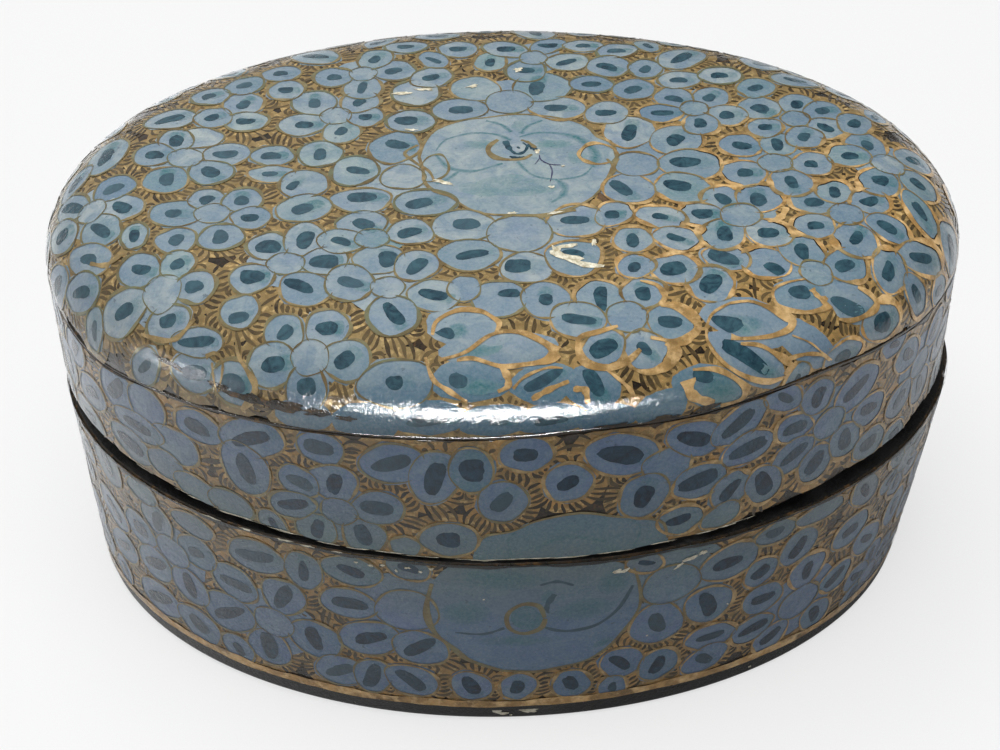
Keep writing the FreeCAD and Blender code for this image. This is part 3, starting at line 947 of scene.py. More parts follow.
def lifted(value, u, step=0.0004):
    """A layer's lift for each copy, a hair apart so that overlapping copies don't flicker."""
    count = len(u)
    return np.broadcast_to(value + (np.arange(count) % 30)[:, None] * step * MM, u.shape)


def nearest(columns, close, x, y):
    """The nearest and second nearest petal of each point, and how far their edges are."""
    near = clearance(columns, x, y)
    two = np.argpartition(near, 1, axis=-1)[..., :2]
    gaps = np.take_along_axis(near, two, -1)
    order = np.argsort(gaps, axis=-1)
    names = np.take_along_axis(np.broadcast_to(close[:, None], near.shape), two, -1)
    return np.take_along_axis(names, order, -1), np.take_along_axis(gaps, order, -1)


def ride_with(pieces, body):
    for piece in pieces:
        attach(piece, body)


def hatch(name, petals, surface, hold, paint, chance, keep):
    """Short strokes laid like rungs across the gaps, from one flower's edge to the next one's."""
    fine = np.linspace(0, 2 * math.pi, 97)
    x, y = edges(petals, fine, margin)
    x, y = x + petals["x"][:, None], y + petals["y"][:, None]
    starts = []
    for number in range(len(x)):
        length = np.concatenate([[0], np.cumsum(np.hypot(np.diff(x[number]), np.diff(y[number])))])
        spots = np.arange(chance.uniform(0, 0.6), length[-1], hatch_pitch)
        spots = spots + chance.uniform(-0.05, 0.05, len(spots))
        here_x, here_y = (np.interp(spots, length, edge[number]) for edge in (x, y))
        next_x, next_y = (np.interp(spots + 0.1, length, edge[number]) for edge in (x, y))
        away = np.arctan2(next_y - here_y, next_x - here_x) - math.pi / 2 + rung_slant
        starts.append(np.stack([here_x, here_y, away, np.full(len(spots), number)], 1))
    starts = np.concatenate(starts)
    starts = starts[keep(starts[:, 0], starts[:, 1])]
    distance = np.hypot(starts[:, 0, None] - petals["x"], starts[:, 1, None] - petals["y"])
    close = np.argpartition(distance, near_petals, axis=1)[:, :near_petals]
    columns = {key: petals[key][close][:, None] for key in ("x", "y", "turn", "along", "across")}
    steps = np.linspace(0, 2.0, 21)
    along_x = starts[:, 0, None] + steps * np.cos(starts[:, 2, None])
    along_y = starts[:, 1, None] + steps * np.sin(starts[:, 2, None])
    names, gaps = nearest(columns, close, along_x, along_y)
    own = starts[:, 3].astype(int)
    other = (names[..., 0] != own[:, None]) & (steps > 0)
    meets = other.any(1)
    where = np.where(meets, np.argmax(other, 1), chance.integers(13, 18, len(starts)))
    rows = np.arange(len(starts))
    middle_x, middle_y = along_x[rows, where], along_y[rows, where]
    facing_petal = np.where(meets, names[rows, where, 0], -1)
    gap = gaps[rows, where, 0] - margin
    target = np.maximum(facing_petal, 0)
    single = {key: petals[key][target][:, None] for key in ("x", "y", "turn", "along", "across")}

    def gap_to(x, y):
        return clearance(single, x, y)[:, 0]

    step = 0.05
    here = gap_to(middle_x, middle_y)
    slope_x = (gap_to(middle_x + step, middle_y) - here) / step
    slope_y = (gap_to(middle_x, middle_y + step) - here) / step
    size = np.maximum(np.hypot(slope_x, slope_y), 1e-6)
    lean = 0.25 * gap
    end_x = middle_x - (slope_x * gap - slope_y * lean) / size
    end_y = middle_y - (slope_y * gap + slope_x * lean) / size
    end_x = np.where(meets, end_x, middle_x)
    end_y = np.where(meets, end_y, middle_y)
    span = np.hypot(end_x - starts[:, 0], end_y - starts[:, 1])
    drawn_once = ~meets | ((own < facing_petal) & (gap > 0.05))
    real = drawn_once & (gaps[:, 0, 0] > margin * 0.7) & (span > shortest_rung) & (span < longest_rung)
    real &= keep(middle_x, middle_y)
    starts, end_x, end_y = starts[real], end_x[real], end_y[real]
    middle_x, middle_y = middle_x[real], middle_y[real]
    meets = meets[real, None]
    count = len(starts)
    share = stroke_along * 1.1 - 0.05

    def along_stroke(*spots):
        first, middle, last = (spot[:, None] for spot in spots)
        bent = first * (1 - share) ** 2 + 2 * middle * share * (1 - share) + last * share ** 2
        return np.where(meets, bent, first + (last - first) * share)

    x = along_stroke(starts[:, 0], middle_x, end_x)
    y = along_stroke(starts[:, 1], middle_y, end_y)
    way = np.arctan2(end_y - starts[:, 1], end_x - starts[:, 0])[:, None]
    width = chance.uniform(0.18, 0.26, count)[:, None] * (0.45 + 0.65 * np.sin(math.pi * stroke_along))
    side = stroke_side * width + 0.035 * np.sin(stroke_along * 8 + chance.uniform(0, 6, count)[:, None])
    u, v = (x - side * np.sin(way)) * MM, (y + side * np.cos(way)) * MM
    shine = petals["shine"][starts[:, 3].astype(int)]
    marks = {"tone": chance.uniform(-1, 1, count)[:, None], "shine": shine[:, None]}
    return copies_of(stroke_master, name, *hold(u, v), surface, lifted(HATCH, u, 0.0002), marks, paint)


def paint_flowers(surface_name, flowers, surface, hold, keep, look, paints, body):
    """Paint all layers of a surface's flowers: hatching, silhouettes, petals, dabs and gold edges."""
    chance = np.random.default_rng(len(surface_name) * 7 + 3)
    petals = read_petals(flowers)
    count = len(petals["x"])
    petals["wave"] = chance.normal(0, 1, (count, 3)) * np.array([0.022, 0.022, 0.013])
    petals["phase"] = chance.uniform(0, 2 * math.pi, (count, 3))
    petals["shine"] = np.clip(look(petals["x"], petals["y"]) + chance.normal(0, 0.08, count), 0, 1)
    pieces = [hatch(surface_name + "_hatching", petals, surface, hold, paints["rung"], chance, keep)]
    ragged_edge = 0.13 * np.cos(4 * patch_bearing + petals["phase"][:, 2, None])
    ragged_edge = ragged_edge + 0.1 * np.cos(7 * patch_bearing + petals["phase"][:, 1, None])

    def lay(kind, master, x, y, lift, marks, paint):
        x, y = hold(x * MM, y * MM)
        name = surface_name + "_" + kind
        pieces.append(copies_of(master, name, x, y, surface, lifted(lift, x), marks, paint))

    def filled(grow):
        x, y = edges(petals, patch_bearing, grow)
        return x * patch_reach + petals["x"][:, None], y * patch_reach + petals["y"][:, None]

    def ringed(grow):
        x, y = edges(petals, ring_bearing, grow)
        return x + petals["x"][:, None], y + petals["y"][:, None]

    plated = np.maximum(petals["plate"] - petals["along"], 0)
    grow = np.maximum(chance.uniform(edge_out + 0.04, edge_out + 0.26, count), plated)[:, None] + ragged_edge
    rim_grow = grow + ochre_rim - 1.5 * ragged_edge * (plated[:, None] == 0)
    lay("ochre_rims", patch_master, *filled(rim_grow), OCHRE,
        {"tone": chance.uniform(-0.6, 1, count)[:, None], "shine": petals["shine"][:, None]}, paints["ochre"])
    teal = np.clip(chance.normal(0.02, 0.14, count), 0, 0.6)[:, None]
    tone = chance.normal(0, 0.4, count)[:, None]
    marks = {"tone": tone, "teal": teal, "tail": 0}
    lay("silhouettes", patch_master, *filled(grow), SILHOUETTE, marks, paints["blue"])
    lay("petals", patch_master, *filled(edge_out), PETAL, marks, paints["blue"])

    dabbed = petals["dab_along"] > 0
    dab = {key: values[dabbed] for key, values in petals.items()}
    dabs = len(dab["x"])
    turn = dab["dab_turn"]
    turn = np.where(np.cos(turn) < 0, turn + math.pi, turn)[:, None]
    centre_x, centre_y = (dab["x"] + dab["dab_x"])[:, None], (dab["y"] + dab["dab_y"])[:, None]
    square = 1 / (np.abs(np.cos(patch_bearing)) ** 2.5 + np.abs(np.sin(patch_bearing)) ** 2.5) ** (1 / 2.5)
    shape = square * (1 + chance.normal(0, 0.035, (dabs, patch_corners))[:, patch_corner])
    taper = chance.uniform(-0.22, 0.22, dabs)[:, None]

    def around(long, wide, shift, bend):
        along = long * shape * np.cos(patch_bearing) * patch_reach + shift
        across = wide * shape * np.sin(patch_bearing) * patch_reach * (1 + taper * np.cos(patch_bearing))
        across = across + bend * (along / long) ** 2
        x = centre_x + along * np.cos(turn) - across * np.sin(turn) - dab["x"][:, None]
        y = centre_y + along * np.sin(turn) + across * np.cos(turn) - dab["y"][:, None]
        cosine, sine = np.cos(dab["turn"])[:, None], np.sin(dab["turn"])[:, None]
        share = np.hypot((x * cosine + y * sine) / dab["along"][:, None],
                         (y * cosine - x * sine) / dab["across"][:, None])
        inward = np.minimum(1, 0.97 / np.maximum(share, 1e-6))
        return dab["x"][:, None] + x * inward, dab["y"][:, None] + y * inward

    long, wide = dab["dab_along"][:, None], dab["dab_across"][:, None]
    strength = np.clip(chance.normal(0.6, 0.3, dabs), 0.1, 0.95)[:, None] * look.tail
    x, y = around(long * 1.1 + 0.3, wide * 1.15 + 0.1, long * 0.8 + 0.4, 0)
    fading = strength * np.minimum(1, 1.7 * (1 - patch_reach ** 2))
    lay("tails", patch_master, x, y, TAIL,
        {"tone": tone[dabbed], "teal": teal[dabbed], "tail": fading}, paints["blue"])
    x, y = around(long, wide, 0, chance.uniform(-0.25, 0.25, dabs)[:, None])
    depth = chance.normal(0.5, 0.5, dabs)[:, None] - 0.8 * dab["shine"][:, None]
    lay("dabs", patch_master, x, y, DAB, {"tone": depth}, paints["dab"])

    bright = np.clip(petals["shine"] * 1.3 - 0.3, 0, 1)[:, None]
    wide_side = np.where(np.isclose(petals["egg"], 0), chance.uniform(0, 6.28, count),
                         petals["heading"] + chance.normal(0, 0.5, count))[:, None]
    x, y = edges(petals, ring_bearing, 0)
    toward = np.cos(np.arctan2(y, x) - wide_side)
    swing = chance.uniform(0, 0.16, count)[:, None] + 0.22 * bright * chance.uniform(0.4, 1.2, count)[:, None]
    middle = edge_out + swing * (toward + 0.2) + 0.05 * np.cos(5 * ring_bearing + petals["phase"][:, 0, None])
    half = look.line / 2 * (0.8 + 0.45 * bright) * chance.uniform(0.75, 1.25, count)[:, None]
    half = half * (1 + 0.6 * bright * toward)
    half = half * (1 + 0.3 * np.cos(3 * ring_bearing + petals["phase"][:, 1, None])
                   + 0.25 * np.cos(6 * ring_bearing + petals["phase"][:, 2, None]))
    flat = {key: values[None, None] for key, values in petals.items() if values.ndim == 1}
    near = clearance(flat, x * (1 + middle / np.hypot(x, y)) + petals["x"][:, None],
                     y * (1 + middle / np.hypot(x, y)) + petals["y"][:, None])
    rank = np.arange(count) + 1000 * (petals["egg"] == 0)
    under = np.where((rank > rank[:, None])[:, None], near, 1).min(-1)
    shown = np.clip((under - edge_out + 0.25) / 0.2, 0, 1)
    shown = shown * (petals["bare"][:, None] == 0)
    alone = np.where(np.arange(count) != np.arange(count)[:, None, None], near, 1).min(-1)
    open_side = np.clip((alone - 0.5) / 0.5, 0, 1)
    heart = petals["egg"][:, None] == 0
    half = half * shown * (0.66 + 0.5 * open_side) * np.where(heart, 0.7, 1)
    bright = bright * shown * (0.3 + 0.7 * open_side)
    tone = chance.normal(0, 0.5, count)[:, None]
    tone = tone + 0.15 * np.cos(2 * ring_bearing + petals["phase"][:, 0, None])
    shine = petals["shine"][:, None] * (0.3 + 0.8 * open_side) * np.where(heart, 0.4, 1)
    lay("gold_edges", ring_master, *ringed(middle + half * ring_side), GOLD,
        {"tone": tone, "shine": shine}, paints["gold"])
    inner = middle - half + 0.05
    depth = np.maximum(0, toward - 0.1) ** 0.8 * 0.36 * bright * (chance.uniform(0, 1, count)[:, None] < 0.75)
    lay("shade_edges", ring_master, *ringed(inner - np.where(ring_side < 0, depth, 0)), CRESCENT,
        {"tone": 0}, paints["dark"])
    ride_with(pieces, body)


def mark(tree, name):
    return add(tree, "ShaderNodeAttribute", attribute_name=name).outputs["Fac"]


def place_along(tree, where, axis):
    parts = add(tree, "ShaderNodeSeparateXYZ")
    tree.links.new(where, parts.inputs[0])
    return parts.outputs[axis]


# Painted shade on the top: the blue is darkened towards the right and over the front shoulder, where less
# light falls.
def painted_shade_right_and_front(tree, where):
    right = spread(tree, place_along(tree, where, "X"), 0.0, 0.05, 0, 0.3)
    front = spread(tree, place_along(tree, where, "Y"), -0.033, -0.0405, 0, 0.95)
    return reckon(tree, right, front, "MAXIMUM")


def greener_near_the_seam(tree, where):
    seam_height = 0.0305
    away = reckon(tree, place_along(tree, where, "Z"), seam_height, "SUBTRACT")
    away = reckon(tree, away, 0, "ABSOLUTE")
    return spread(tree, away, 0.001, 0.012, 0.6, 0)


def flower_paints(where_used, coat, blues, slates, ochres, rungs, shade_and_tint_mask, shade_and_tint_colour, metal):
    """The paints of one surface: blue, slate, gold, hatching gold and the brown-black of the shadows."""
    blue, tree, where, shader = coated("blue_" + where_used, **coat)
    streaks = spread(tree, noise(tree, where, 420, 4, 0.6, 0.6), 0.38, 0.62)
    deep, pale, violet, low, green = (colour(*shade) for shade in blues)
    shade = blend(tree, streaks, deep, pale)
    hazy = spread(tree, noise(tree, where, 240, 3, 0.6), 0.5, 0.7, 0, 0.6)
    shade = blend(tree, hazy, shade, violet)
    shade = blend(tree, spread(tree, mark(tree, "tone"), -1.2, 1.2, 0, 0.8), low, shade)
    # The given mask darkens the blue on the top (painted shade) and turns it greener near the seam on the
    # walls.
    shade = blend(tree, shade_and_tint_mask(tree, where), shade, colour(*shade_and_tint_colour))
    cloudy = spread(tree, noise(tree, where, 150, 4, 0.6), 0.42, 0.7)
    greened = reckon(tree, mark(tree, "teal"), reckon(tree, cloudy, 0.35, "ADD"))
    shade = blend(tree, greened, shade, green)
    brushed = spread(tree, noise(tree, where, 900, 3, 0.6, 1.5), 0.3, 0.7, 0.35, 1.1)
    shade = blend(tree, reckon(tree, mark(tree, "tail"), brushed), shade, colour(46, 94, 100))
    grain = spread(tree, noise(tree, where, 2800, 2), 0.35, 0.7, 0, 0.09)
    shade = blend(tree, grain, shade, colour(196, 198, 190))
    specks = spread(tree, noise(tree, where, 1300, 2), 0.68, 0.76, 0, 0.6)
    tree.links.new(blend(tree, specks, shade, colour(66, 78, 88)), shader.inputs["Base Color"])

    dab, tree, where, shader = coated("slate_" + where_used, **coat)
    streaks = spread(tree, noise(tree, where, 700, 4, 0.6, 1.0), 0.35, 0.7)
    shade = blend(tree, streaks, *(colour(*shade) for shade in slates))
    tree.links.new(blend(tree, spread(tree, mark(tree, "tone"), 0, 1.5, 0, 0.6), shade, colour(66, 90, 100)),
                   shader.inputs["Base Color"])

    gold, tree, where, shader = coated("gold_" + where_used, **coat)
    shader.inputs["Metallic"].default_value = metal
    shade = blend(tree, mark(tree, "shine"), colour(104, 108, 84), colour(190, 148, 90))
    uneven = spread(tree, noise(tree, where, 380, 5, 0.65), 0.38, 0.62)
    tarnished = blend(tree, uneven, colour(94, 74, 44), shade)
    bright = spread(tree, mark(tree, "tone"), -1.5, 1.5, 0, 0.6)
    shade = blend(tree, bright, tarnished, shade)
    # Painted glints: bright pale-gold flecks under a noise mask, strongest where the gold is brightest,
    # standing in for highlights on the metal paint.
    painted_glints = spread(tree, noise(tree, where, 520, 5, 0.65), 0.46, 0.66, 0, 0.75)
    painted_glints = reckon(tree, painted_glints, mark(tree, "shine"))
    tree.links.new(blend(tree, painted_glints, shade, colour(238, 202, 146)), shader.inputs["Base Color"])

    ochre, tree, where, shader = coated("ochre_" + where_used, **coat)
    shader.inputs["Metallic"].default_value = metal * 0.6
    shade = blend(tree, mark(tree, "shine"), *(colour(*shade) for shade in ochres))
    mottled = spread(tree, noise(tree, where, 620, 4, 0.65, 0.8), 0.4, 0.68)
    shade = blend(tree, mottled, colour(124, 102, 64), shade)
    # Painted glints: pale flecks on the ochre, standing in for highlights.
    painted_glints = spread(tree, noise(tree, where, 1100, 3, 0.6, 0.5), 0.54, 0.7, 0, 0.75)
    shade = blend(tree, painted_glints, shade, colour(206, 176, 120))
    tree.links.new(blend(tree, spread(tree, mark(tree, "tone"), -1, 1, 0.6, 1), colour(96, 84, 56), shade),
                   shader.inputs["Base Color"])

    rung, tree, where, shader = coated("hatching_" + where_used, **coat)
    mottled = spread(tree, noise(tree, where, 800, 4, 0.65), 0.38, 0.66)
    shade = blend(tree, mottled, *(colour(*shade) for shade in rungs))
    tree.links.new(blend(tree, spread(tree, mark(tree, "tone"), -1, 1, 0, 0.5), shade, colour(104, 88, 58)),
                   shader.inputs["Base Color"])

    dark, tree, where, shader = coated("shadow_" + where_used, **coat)
    mottled = spread(tree, noise(tree, where, 700, 3), 0.4, 0.7)
    shade = blend(tree, mottled, colour(28, 25, 20), colour(46, 38, 28))
    tree.links.new(shade, shader.inputs["Base Color"])
    return {"blue": blue, "dab": dab, "gold": gold, "ochre": ochre, "rung": rung, "dark": dark}


top_margin = 0.02 * MM
top_half_long, top_half_wide, top_mean_half = 61.8, 45.8, 54
top_set_back, top_set_aside = 19, 50
small_petal = 2.2


def top_hold(x, y):
    """Keep paint on the top: what would run over the shoulder's edge stops at it."""
    past, turn = top_turn(x, y)
    limit = shoulder_run(turn) - top_margin
    over = past > limit
    return (np.where(over, (flat_long + limit) * np.sin(turn), x),
            np.where(over, -(flat_wide + limit) * np.cos(turn), y))


def top_spot(chance):
    return chance.uniform(-62, 62), chance.uniform(-46, 46)


def top_free(x, y, size):
    """Room for chance flowers: the far side and the two ends, and small gaps anywhere."""
    if math.hypot(x / top_half_long, y / top_half_wide) > 1 - 0.3 * size / top_mean_half:
        return False
    return y > top_set_back or abs(x) > top_set_aside or size < small_petal


def top_keep(x, y):
    past, turn = top_turn(x * MM, y * MM)
    return past < shoulder_run(turn) - top_margin


def top_look(x, y):
    """How bright the gold is: fresh and thick at the right and front, dull and olive at the left."""
    return 0.1 + 0.7 * np.clip((x + 4) / 26, 0, 1) * np.clip((20 - y) / 26, 0, 1)


top_look.tail = 1.0
top_look.line = 0.4
# The top's blue is darkened towards (54, 88, 108) to the right and over the front shoulder: painted shade.
top_paints = flower_paints(
    "top", TOP_COAT,
    blues=((118, 133, 141), (163, 169, 163), (121, 133, 154), (92, 114, 132), (84, 122, 118)),
    slates=((22, 46, 58), (50, 82, 92)), ochres=((144, 125, 86), (184, 145, 86)),
    rungs=((42, 34, 24), (80, 66, 42)), shade_and_tint_mask=painted_shade_right_and_front, shade_and_tint_colour=(54, 88, 108), metal=0.15)
top_rose_room = (2, 0, 23, 21)
top_flowers = fill_flowers(TOP_FLOWERS, top_free, top_spot, np.random.default_rng(5), (top_rose_room,))
paint_flowers("lid_top", top_flowers, top_place, top_hold, top_keep, top_look, top_paints, "lid")


# The painting of the lid's wall: the same flowers in bluer paint with a thinner line of gold, greyer
# towards the seam. It stops short of the cut edge below and of the dark groove above.
lid_wall_margins = 0.1 * MM, 0.6 * MM
lid_set_aside = 66


def lid_wall_hold(run_along, height):
    turn = wall_turn(run_along)
    return run_along, np.clip(height, lid_edge(turn) + lid_wall_margins[0],
                              lid_shoulder(turn) - lid_wall_margins[1])


def wall_spots(low, high):
    """Chance places on a wall, between two heights."""
    reach = wall_run / MM
    return lambda chance: (chance.uniform(-reach, reach), chance.uniform(low, high))


def moved_along(flower, shift):
    """The same flower further along the wall."""
    x, y, size, *petals = flower
    return (x + shift * (size > 0), y, size, *((petal[0] + shift, *petal[1:]) for petal in petals))


def around_wall(flowers):
    """Flowers near the back seam appear on both ends of the strip, so that the band closes."""
    reach, overlap = wall_run / MM, 9
    return flowers + [moved_along(flower, shift) for flower in flowers for shift in (-2 * reach, 2 * reach)
                      if abs(flower[3][0] + shift) < reach + overlap]


def lid_wall_free(x, y, size):
    turn = wall_turn(x * MM)
    low, high = lid_edge(turn) / MM, lid_shoulder(turn) / MM
    if y < low + 0.35 * size or y > high - 0.4 * size - 0.5:
        return False
    return abs(x + 2) > lid_set_aside or size < small_petal


def lid_wall_keep(x, y):
    turn = wall_turn(x * MM)
    low, high = lid_edge(turn) + lid_wall_margins[0], lid_shoulder(turn) - lid_wall_margins[1]
    return (y * MM > low) & (y * MM < high) & (np.abs(x * MM) <= wall_run)


def wall_look(x, y):
    return 0.18 + 0.3 * np.clip((x + 10) / 40, 0, 1) + 0 * y


wall_look.tail = 0.45
wall_look.line = 0.36
wall_paints = flower_paints(
    "wall", WALL_COAT,
    blues=((88, 108, 136), (122, 141, 154), (106, 118, 158), (78, 102, 132), (66, 108, 116)),
    slates=((4, 26, 42), (22, 58, 80)), ochres=((166, 126, 72), (196, 148, 84)),
    rungs=((18, 14, 10), (48, 38, 24)), shade_and_tint_mask=greener_near_the_seam, shade_and_tint_colour=(92, 106, 96), metal=0.12)
lid_rose_room = (7.5, 31, 21, 12)
lid_wall_flowers = fill_flowers(LID_WALL_FLOWERS, lid_wall_free, wall_spots(30.5, 51),
                                np.random.default_rng(8), (lid_rose_room,))
paint_flowers("lid_wall", around_wall(lid_wall_flowers), lid_wall_place, lid_wall_hold, lid_wall_keep,
              wall_look, wall_paints, "lid")


# The painting of the base: the same paints, from the rim down to the gold line at the foot. The flowers
# are a little larger than the lid's, and leave room for the rose in front.
base_set_aside = 54
base_paint_low, base_paint_high = 4, 29.6


def base_wall_hold(run_along, height):
    return run_along, np.clip(height, 4.1 * MM, rim_height - 0.03 * MM)


def base_wall_free(x, y, size):
    if y < base_paint_low + 0.5 * size or y > base_paint_high - 0.4 * size:
        return False
    return abs(x) > base_set_aside or size < small_petal


def base_wall_keep(x, y):
    return (y > 3.9) & (y < 29.7) & (np.abs(x * MM) <= wall_run)


base_rose_room = (3, 21, 24, 21)
base_flowers = fill_flowers(BASE_WALL_FLOWERS, base_wall_free, wall_spots(4, 30), np.random.default_rng(12),
                            (base_rose_room,))
paint_flowers("base_wall", around_wall(base_flowers), base_wall_place, base_wall_hold, base_wall_keep,
              wall_look, wall_paints, "base")


# The large roses: one on the crown, one on the front of the base, and half a one on the lid's wall.
# Each is a single pale blossom with its petals drawn in by soft green-blue brush lines.
rose_master = disc_sheet("rose_sheet", 60, 10)
rose_points = flat_places(rose_master)
rose_reach = np.linalg.norm(rose_points, axis=1)
rose_bearing = np.arctan2(rose_points[:, 1], rose_points[:, 0])

deselect()
bpy.ops.mesh.primitive_grid_add(x_subdivisions=28, y_subdivisions=2, size=2)
line_master = take("line")
line_points = flat_places(line_master)

ON_TOP = top_place, top_hold
ON_LID_WALL = lid_wall_place, lid_wall_hold
ON_BASE_WALL = base_wall_place, base_wall_hold


def as_given(u, v):
    return u, v


def smooth_path(points, shares, closed=False):
    """Points along a curve that passes through given points, and its direction there."""
    points = np.array(points, float)
    count = len(points)
    spans = count if closed else count - 1
    place = np.clip(shares, 0, 1) * spans
    whole = np.minimum(place.astype(int), spans - 1)

    def pick(index):
        return points[index % count if closed else np.clip(index, 0, count - 1)]

    before, start, end, after = (pick(whole + step) for step in (-1, 0, 1, 2))
    part = (place - whole)[:, None]
    spot = 0.5 * (2 * start + (end - before) * part + (2 * before - 5 * start + 4 * end - after) * part ** 2
                  + (3 * start - before - 3 * end + after) * part ** 3)
    slope = 0.5 * ((end - before) + 2 * (2 * before - 5 * start + 4 * end - after) * part
                   + 3 * (3 * start - before - 3 * end + after) * part ** 2)
    return spot, slope / np.maximum(np.linalg.norm(slope, axis=1, keepdims=True), 1e-9)


def brush_lines(name, lines, where, lift, paint, marks):
    """Brushed lines through given points, each with its widths from start to end."""
    surface, hold = where
    chance = np.random.default_rng(4)
    share, side = (line_points[:, 0] + 1) / 2, line_points[:, 1]
    u, v = [], []
    for points, *widths in lines:
        spot, way = smooth_path(points, share)
        width = np.interp(share, np.linspace(0, 1, len(widths)), widths) / 2
        width = width * (1 + 0.18 * np.sin(share * 17 + chance.uniform(0, 6)))
        u.append(spot[:, 0] - way[:, 1] * width * side)
        v.append(spot[:, 1] + way[:, 0] * width * side)
    u, v = hold(np.array(u) * MM, np.array(v) * MM)
    return copies_of(line_master, name, u, v, surface, lifted(lift, u), marks(side, len(lines)), paint)


def blots(name, spots, where, lift, paint, marks, rag=0.12):
    """Small free patches: x, y, size along, size across and turn of each."""
    surface, hold = where
    chance = np.random.default_rng(6)
    x, y, along, across, turn = (np.array(column, float)[:, None] for column in zip(*spots))
    turn = np.radians(turn)
    uneven = 1 + chance.normal(0, rag, (len(spots), patch_corners))[:, patch_corner]
    u = along / 2 * patch_reach * np.cos(patch_bearing) * uneven
    v = across / 2 * patch_reach * np.sin(patch_bearing) * uneven
    u, v = x + u * np.cos(turn) - v * np.sin(turn), y + u * np.sin(turn) + v * np.cos(turn)
    u, v = hold(u * MM, v * MM)
    return copies_of(patch_master, name, u, v, surface, lifted(lift, u), marks(len(spots)), paint)


def rose_sheet(name, outline, centre, where, paint, tone, greened):
    """The blossom's own shape, filled from its middle to a given outline."""
    surface, hold = where
    spots, _ = smooth_path(outline, np.linspace(0, 1, 400)[:-1], closed=True)
    away = spots - np.array(centre)
    bearings = np.arctan2(away[:, 1], away[:, 0])
    order = np.argsort(bearings)
    reach = np.interp(rose_bearing, bearings[order], np.linalg.norm(away, axis=1)[order], period=2 * math.pi)
    x = centre[0] + reach * rose_reach * np.cos(rose_bearing)
    y = centre[1] + reach * rose_reach * np.sin(rose_bearing)
    u, v = hold(x[None] * MM, y[None] * MM)
    marks = {"tone": tone, "teal": greened, "tail": 0}
    return copies_of(rose_master, name, u, v, surface, np.full(u.shape, ROSE_LIFT), marks, paint)


def soft_marks(strength):
    return lambda side, count: {"tone": 0, "teal": 0.2, "tail": strength * (1 - np.abs(side) ** 2)}


def even_tone(*_):
    return {"tone": 0}


def plain_marks(shine):
    return lambda side, count: {"tone": 0.2, "shine": shine}


ROSE_LIFT = TAIL + 0.005 * MM
TOP_ROSE = (
    (14.4, 0.5), (14, 3.9), (12.2, 5.6), (11.2, 7.6), (9.2, 9.3), (5.4, 10.6), (1.8, 11), (-1.8, 10.4),
    (-4.8, 9.9), (-8.1, 8), (-9.6, 5), (-10.2, 1.6), (-9.6, -1.4), (-9.4, -4), (-8.1, -6), (-6.1, -7.2),
    (-4.6, -9.2), (-2.2, -10.8), (1.3, -11.3), (5.3, -11.3), (8.9, -9.7), (11.4, -7.4), (13.2, -3.5),
)
TOP_ROSE_LINES = (
    (((-8.1, 3.1), (-6.8, 5.6), (-3.5, 6.9), (-0.5, 6.4), (1.3, 5)), 0.2, 0.45, 0.45, 0.8),
    (((-8.2, 2.4), (-6.8, -0.4), (-5.1, -1.5), (-3.1, -1.7), (0.2, -0.2)), 0.5, 1.0, 0.7, 0.4),
    (((2.4, 5.7), (4.5, 6.6), (7, 6.5), (9.5, 5.5), (11.3, 3.2), (11.8, 0.9), (11.4, -1.4)),
     0.3, 0.5, 0.8, 1.5, 1.6, 0.9),
    (((2.1, 0.1), (3.5, -2.5), (5.1, -3.6), (7.3, -3.9), (10, -3.1), (11.3, -1.2)), 0.5, 0.5, 0.45, 0.3),
    (((6.7, -3.9), (7.7, -5.5), (7.4, -7.3), (6, -8.8)), 0.6, 1.2, 0.9, 0.3),
    (((-1.8, 9.7), (0.1, 8.7), (1.4, 6.9)), 0.4, 0.6, 0.8),
    (((5.4, 9.5), (3.5, 8.2), (2.6, 6.5)), 0.4, 0.6, 0.8),
    (((-8, -4.4), (-6.6, -3.4), (-5.3, -1.8)), 0.4, 0.8, 0.5),
)
LID_TOP_ROSE_SHADING = (
    (1.4, -4.6, 8, 3.6, 5), (3.4, -6, 7, 2.4, 10), (-2.2, -5.6, 6, 3, -10), (6.9, 4, 5, 1.8, 0),
    (-2.6, 4.2, 4.4, 2.2, 0), (9.6, 1, 2.6, 3.6, 0), (2.2, 8.4, 2.6, 1.6, 90),
)
LID_TOP_ROSE_HEART_STROKES = (
    (((0.6, 4.9), (0.9, 3.7), (1.3, 2.7), (1.9, 1.8)), 0.7, 0.9, 0.5, 0.3),
    (((1.6, 2), (2.4, 1.9), (3.1, 2.6), (3.3, 3.6), (2.8, 4.4)), 0.3, 0.5, 0.35, 0.2),
    (((3.3, 3.9), (4.1, 3.2), (4.4, 2.6)), 0.4, 0.9, 0.5), (((2.1, 3.5), (2.4, 3)), 0.3, 0.35, 0.2),
    (((1.1, 1.3), (2.2, 0.9), (3, 1.2)), 0.3, 0.7, 0.3),
)
LID_TOP_ROSE_GOLD = (
    (TOP_ROSE[:12], 0.45, 0.5, 0.3, 0.25, 0.35, 0.45),
    (TOP_ROSE[11:] + TOP_ROSE[:1], 0.45, 0.55, 0.4, 0.35, 0.5, 0.4, 0.6),
    (((-0.3, 5.2), (-1.4, 3.8), (-1.5, 2.4), (-0.6, 1.1), (0.9, 0.6), (2.7, 0.7), (3.9, 1.7)),
     0.5, 0.75, 0.85, 0.5, 0.4),
    (((2.6, 5), (3.5, 4.4), (4.4, 3.1)), 0.3, 0.5, 0.5),
    (((4.4, -12), (6.6, -10.9), (8.9, -10.4)), 0.4, 0.8, 0.4),
    (((-10.4, 4.4), (-12, 2.6), (-10.6, 0.4), (-8.9, -1.6), (-8.2, -3.8)), 0.4, 0.45, 0.35),
    (((12.6, -4.4), (14, -2.2), (13.2, 0.4)), 0.3, 0.4, 0.3),
)
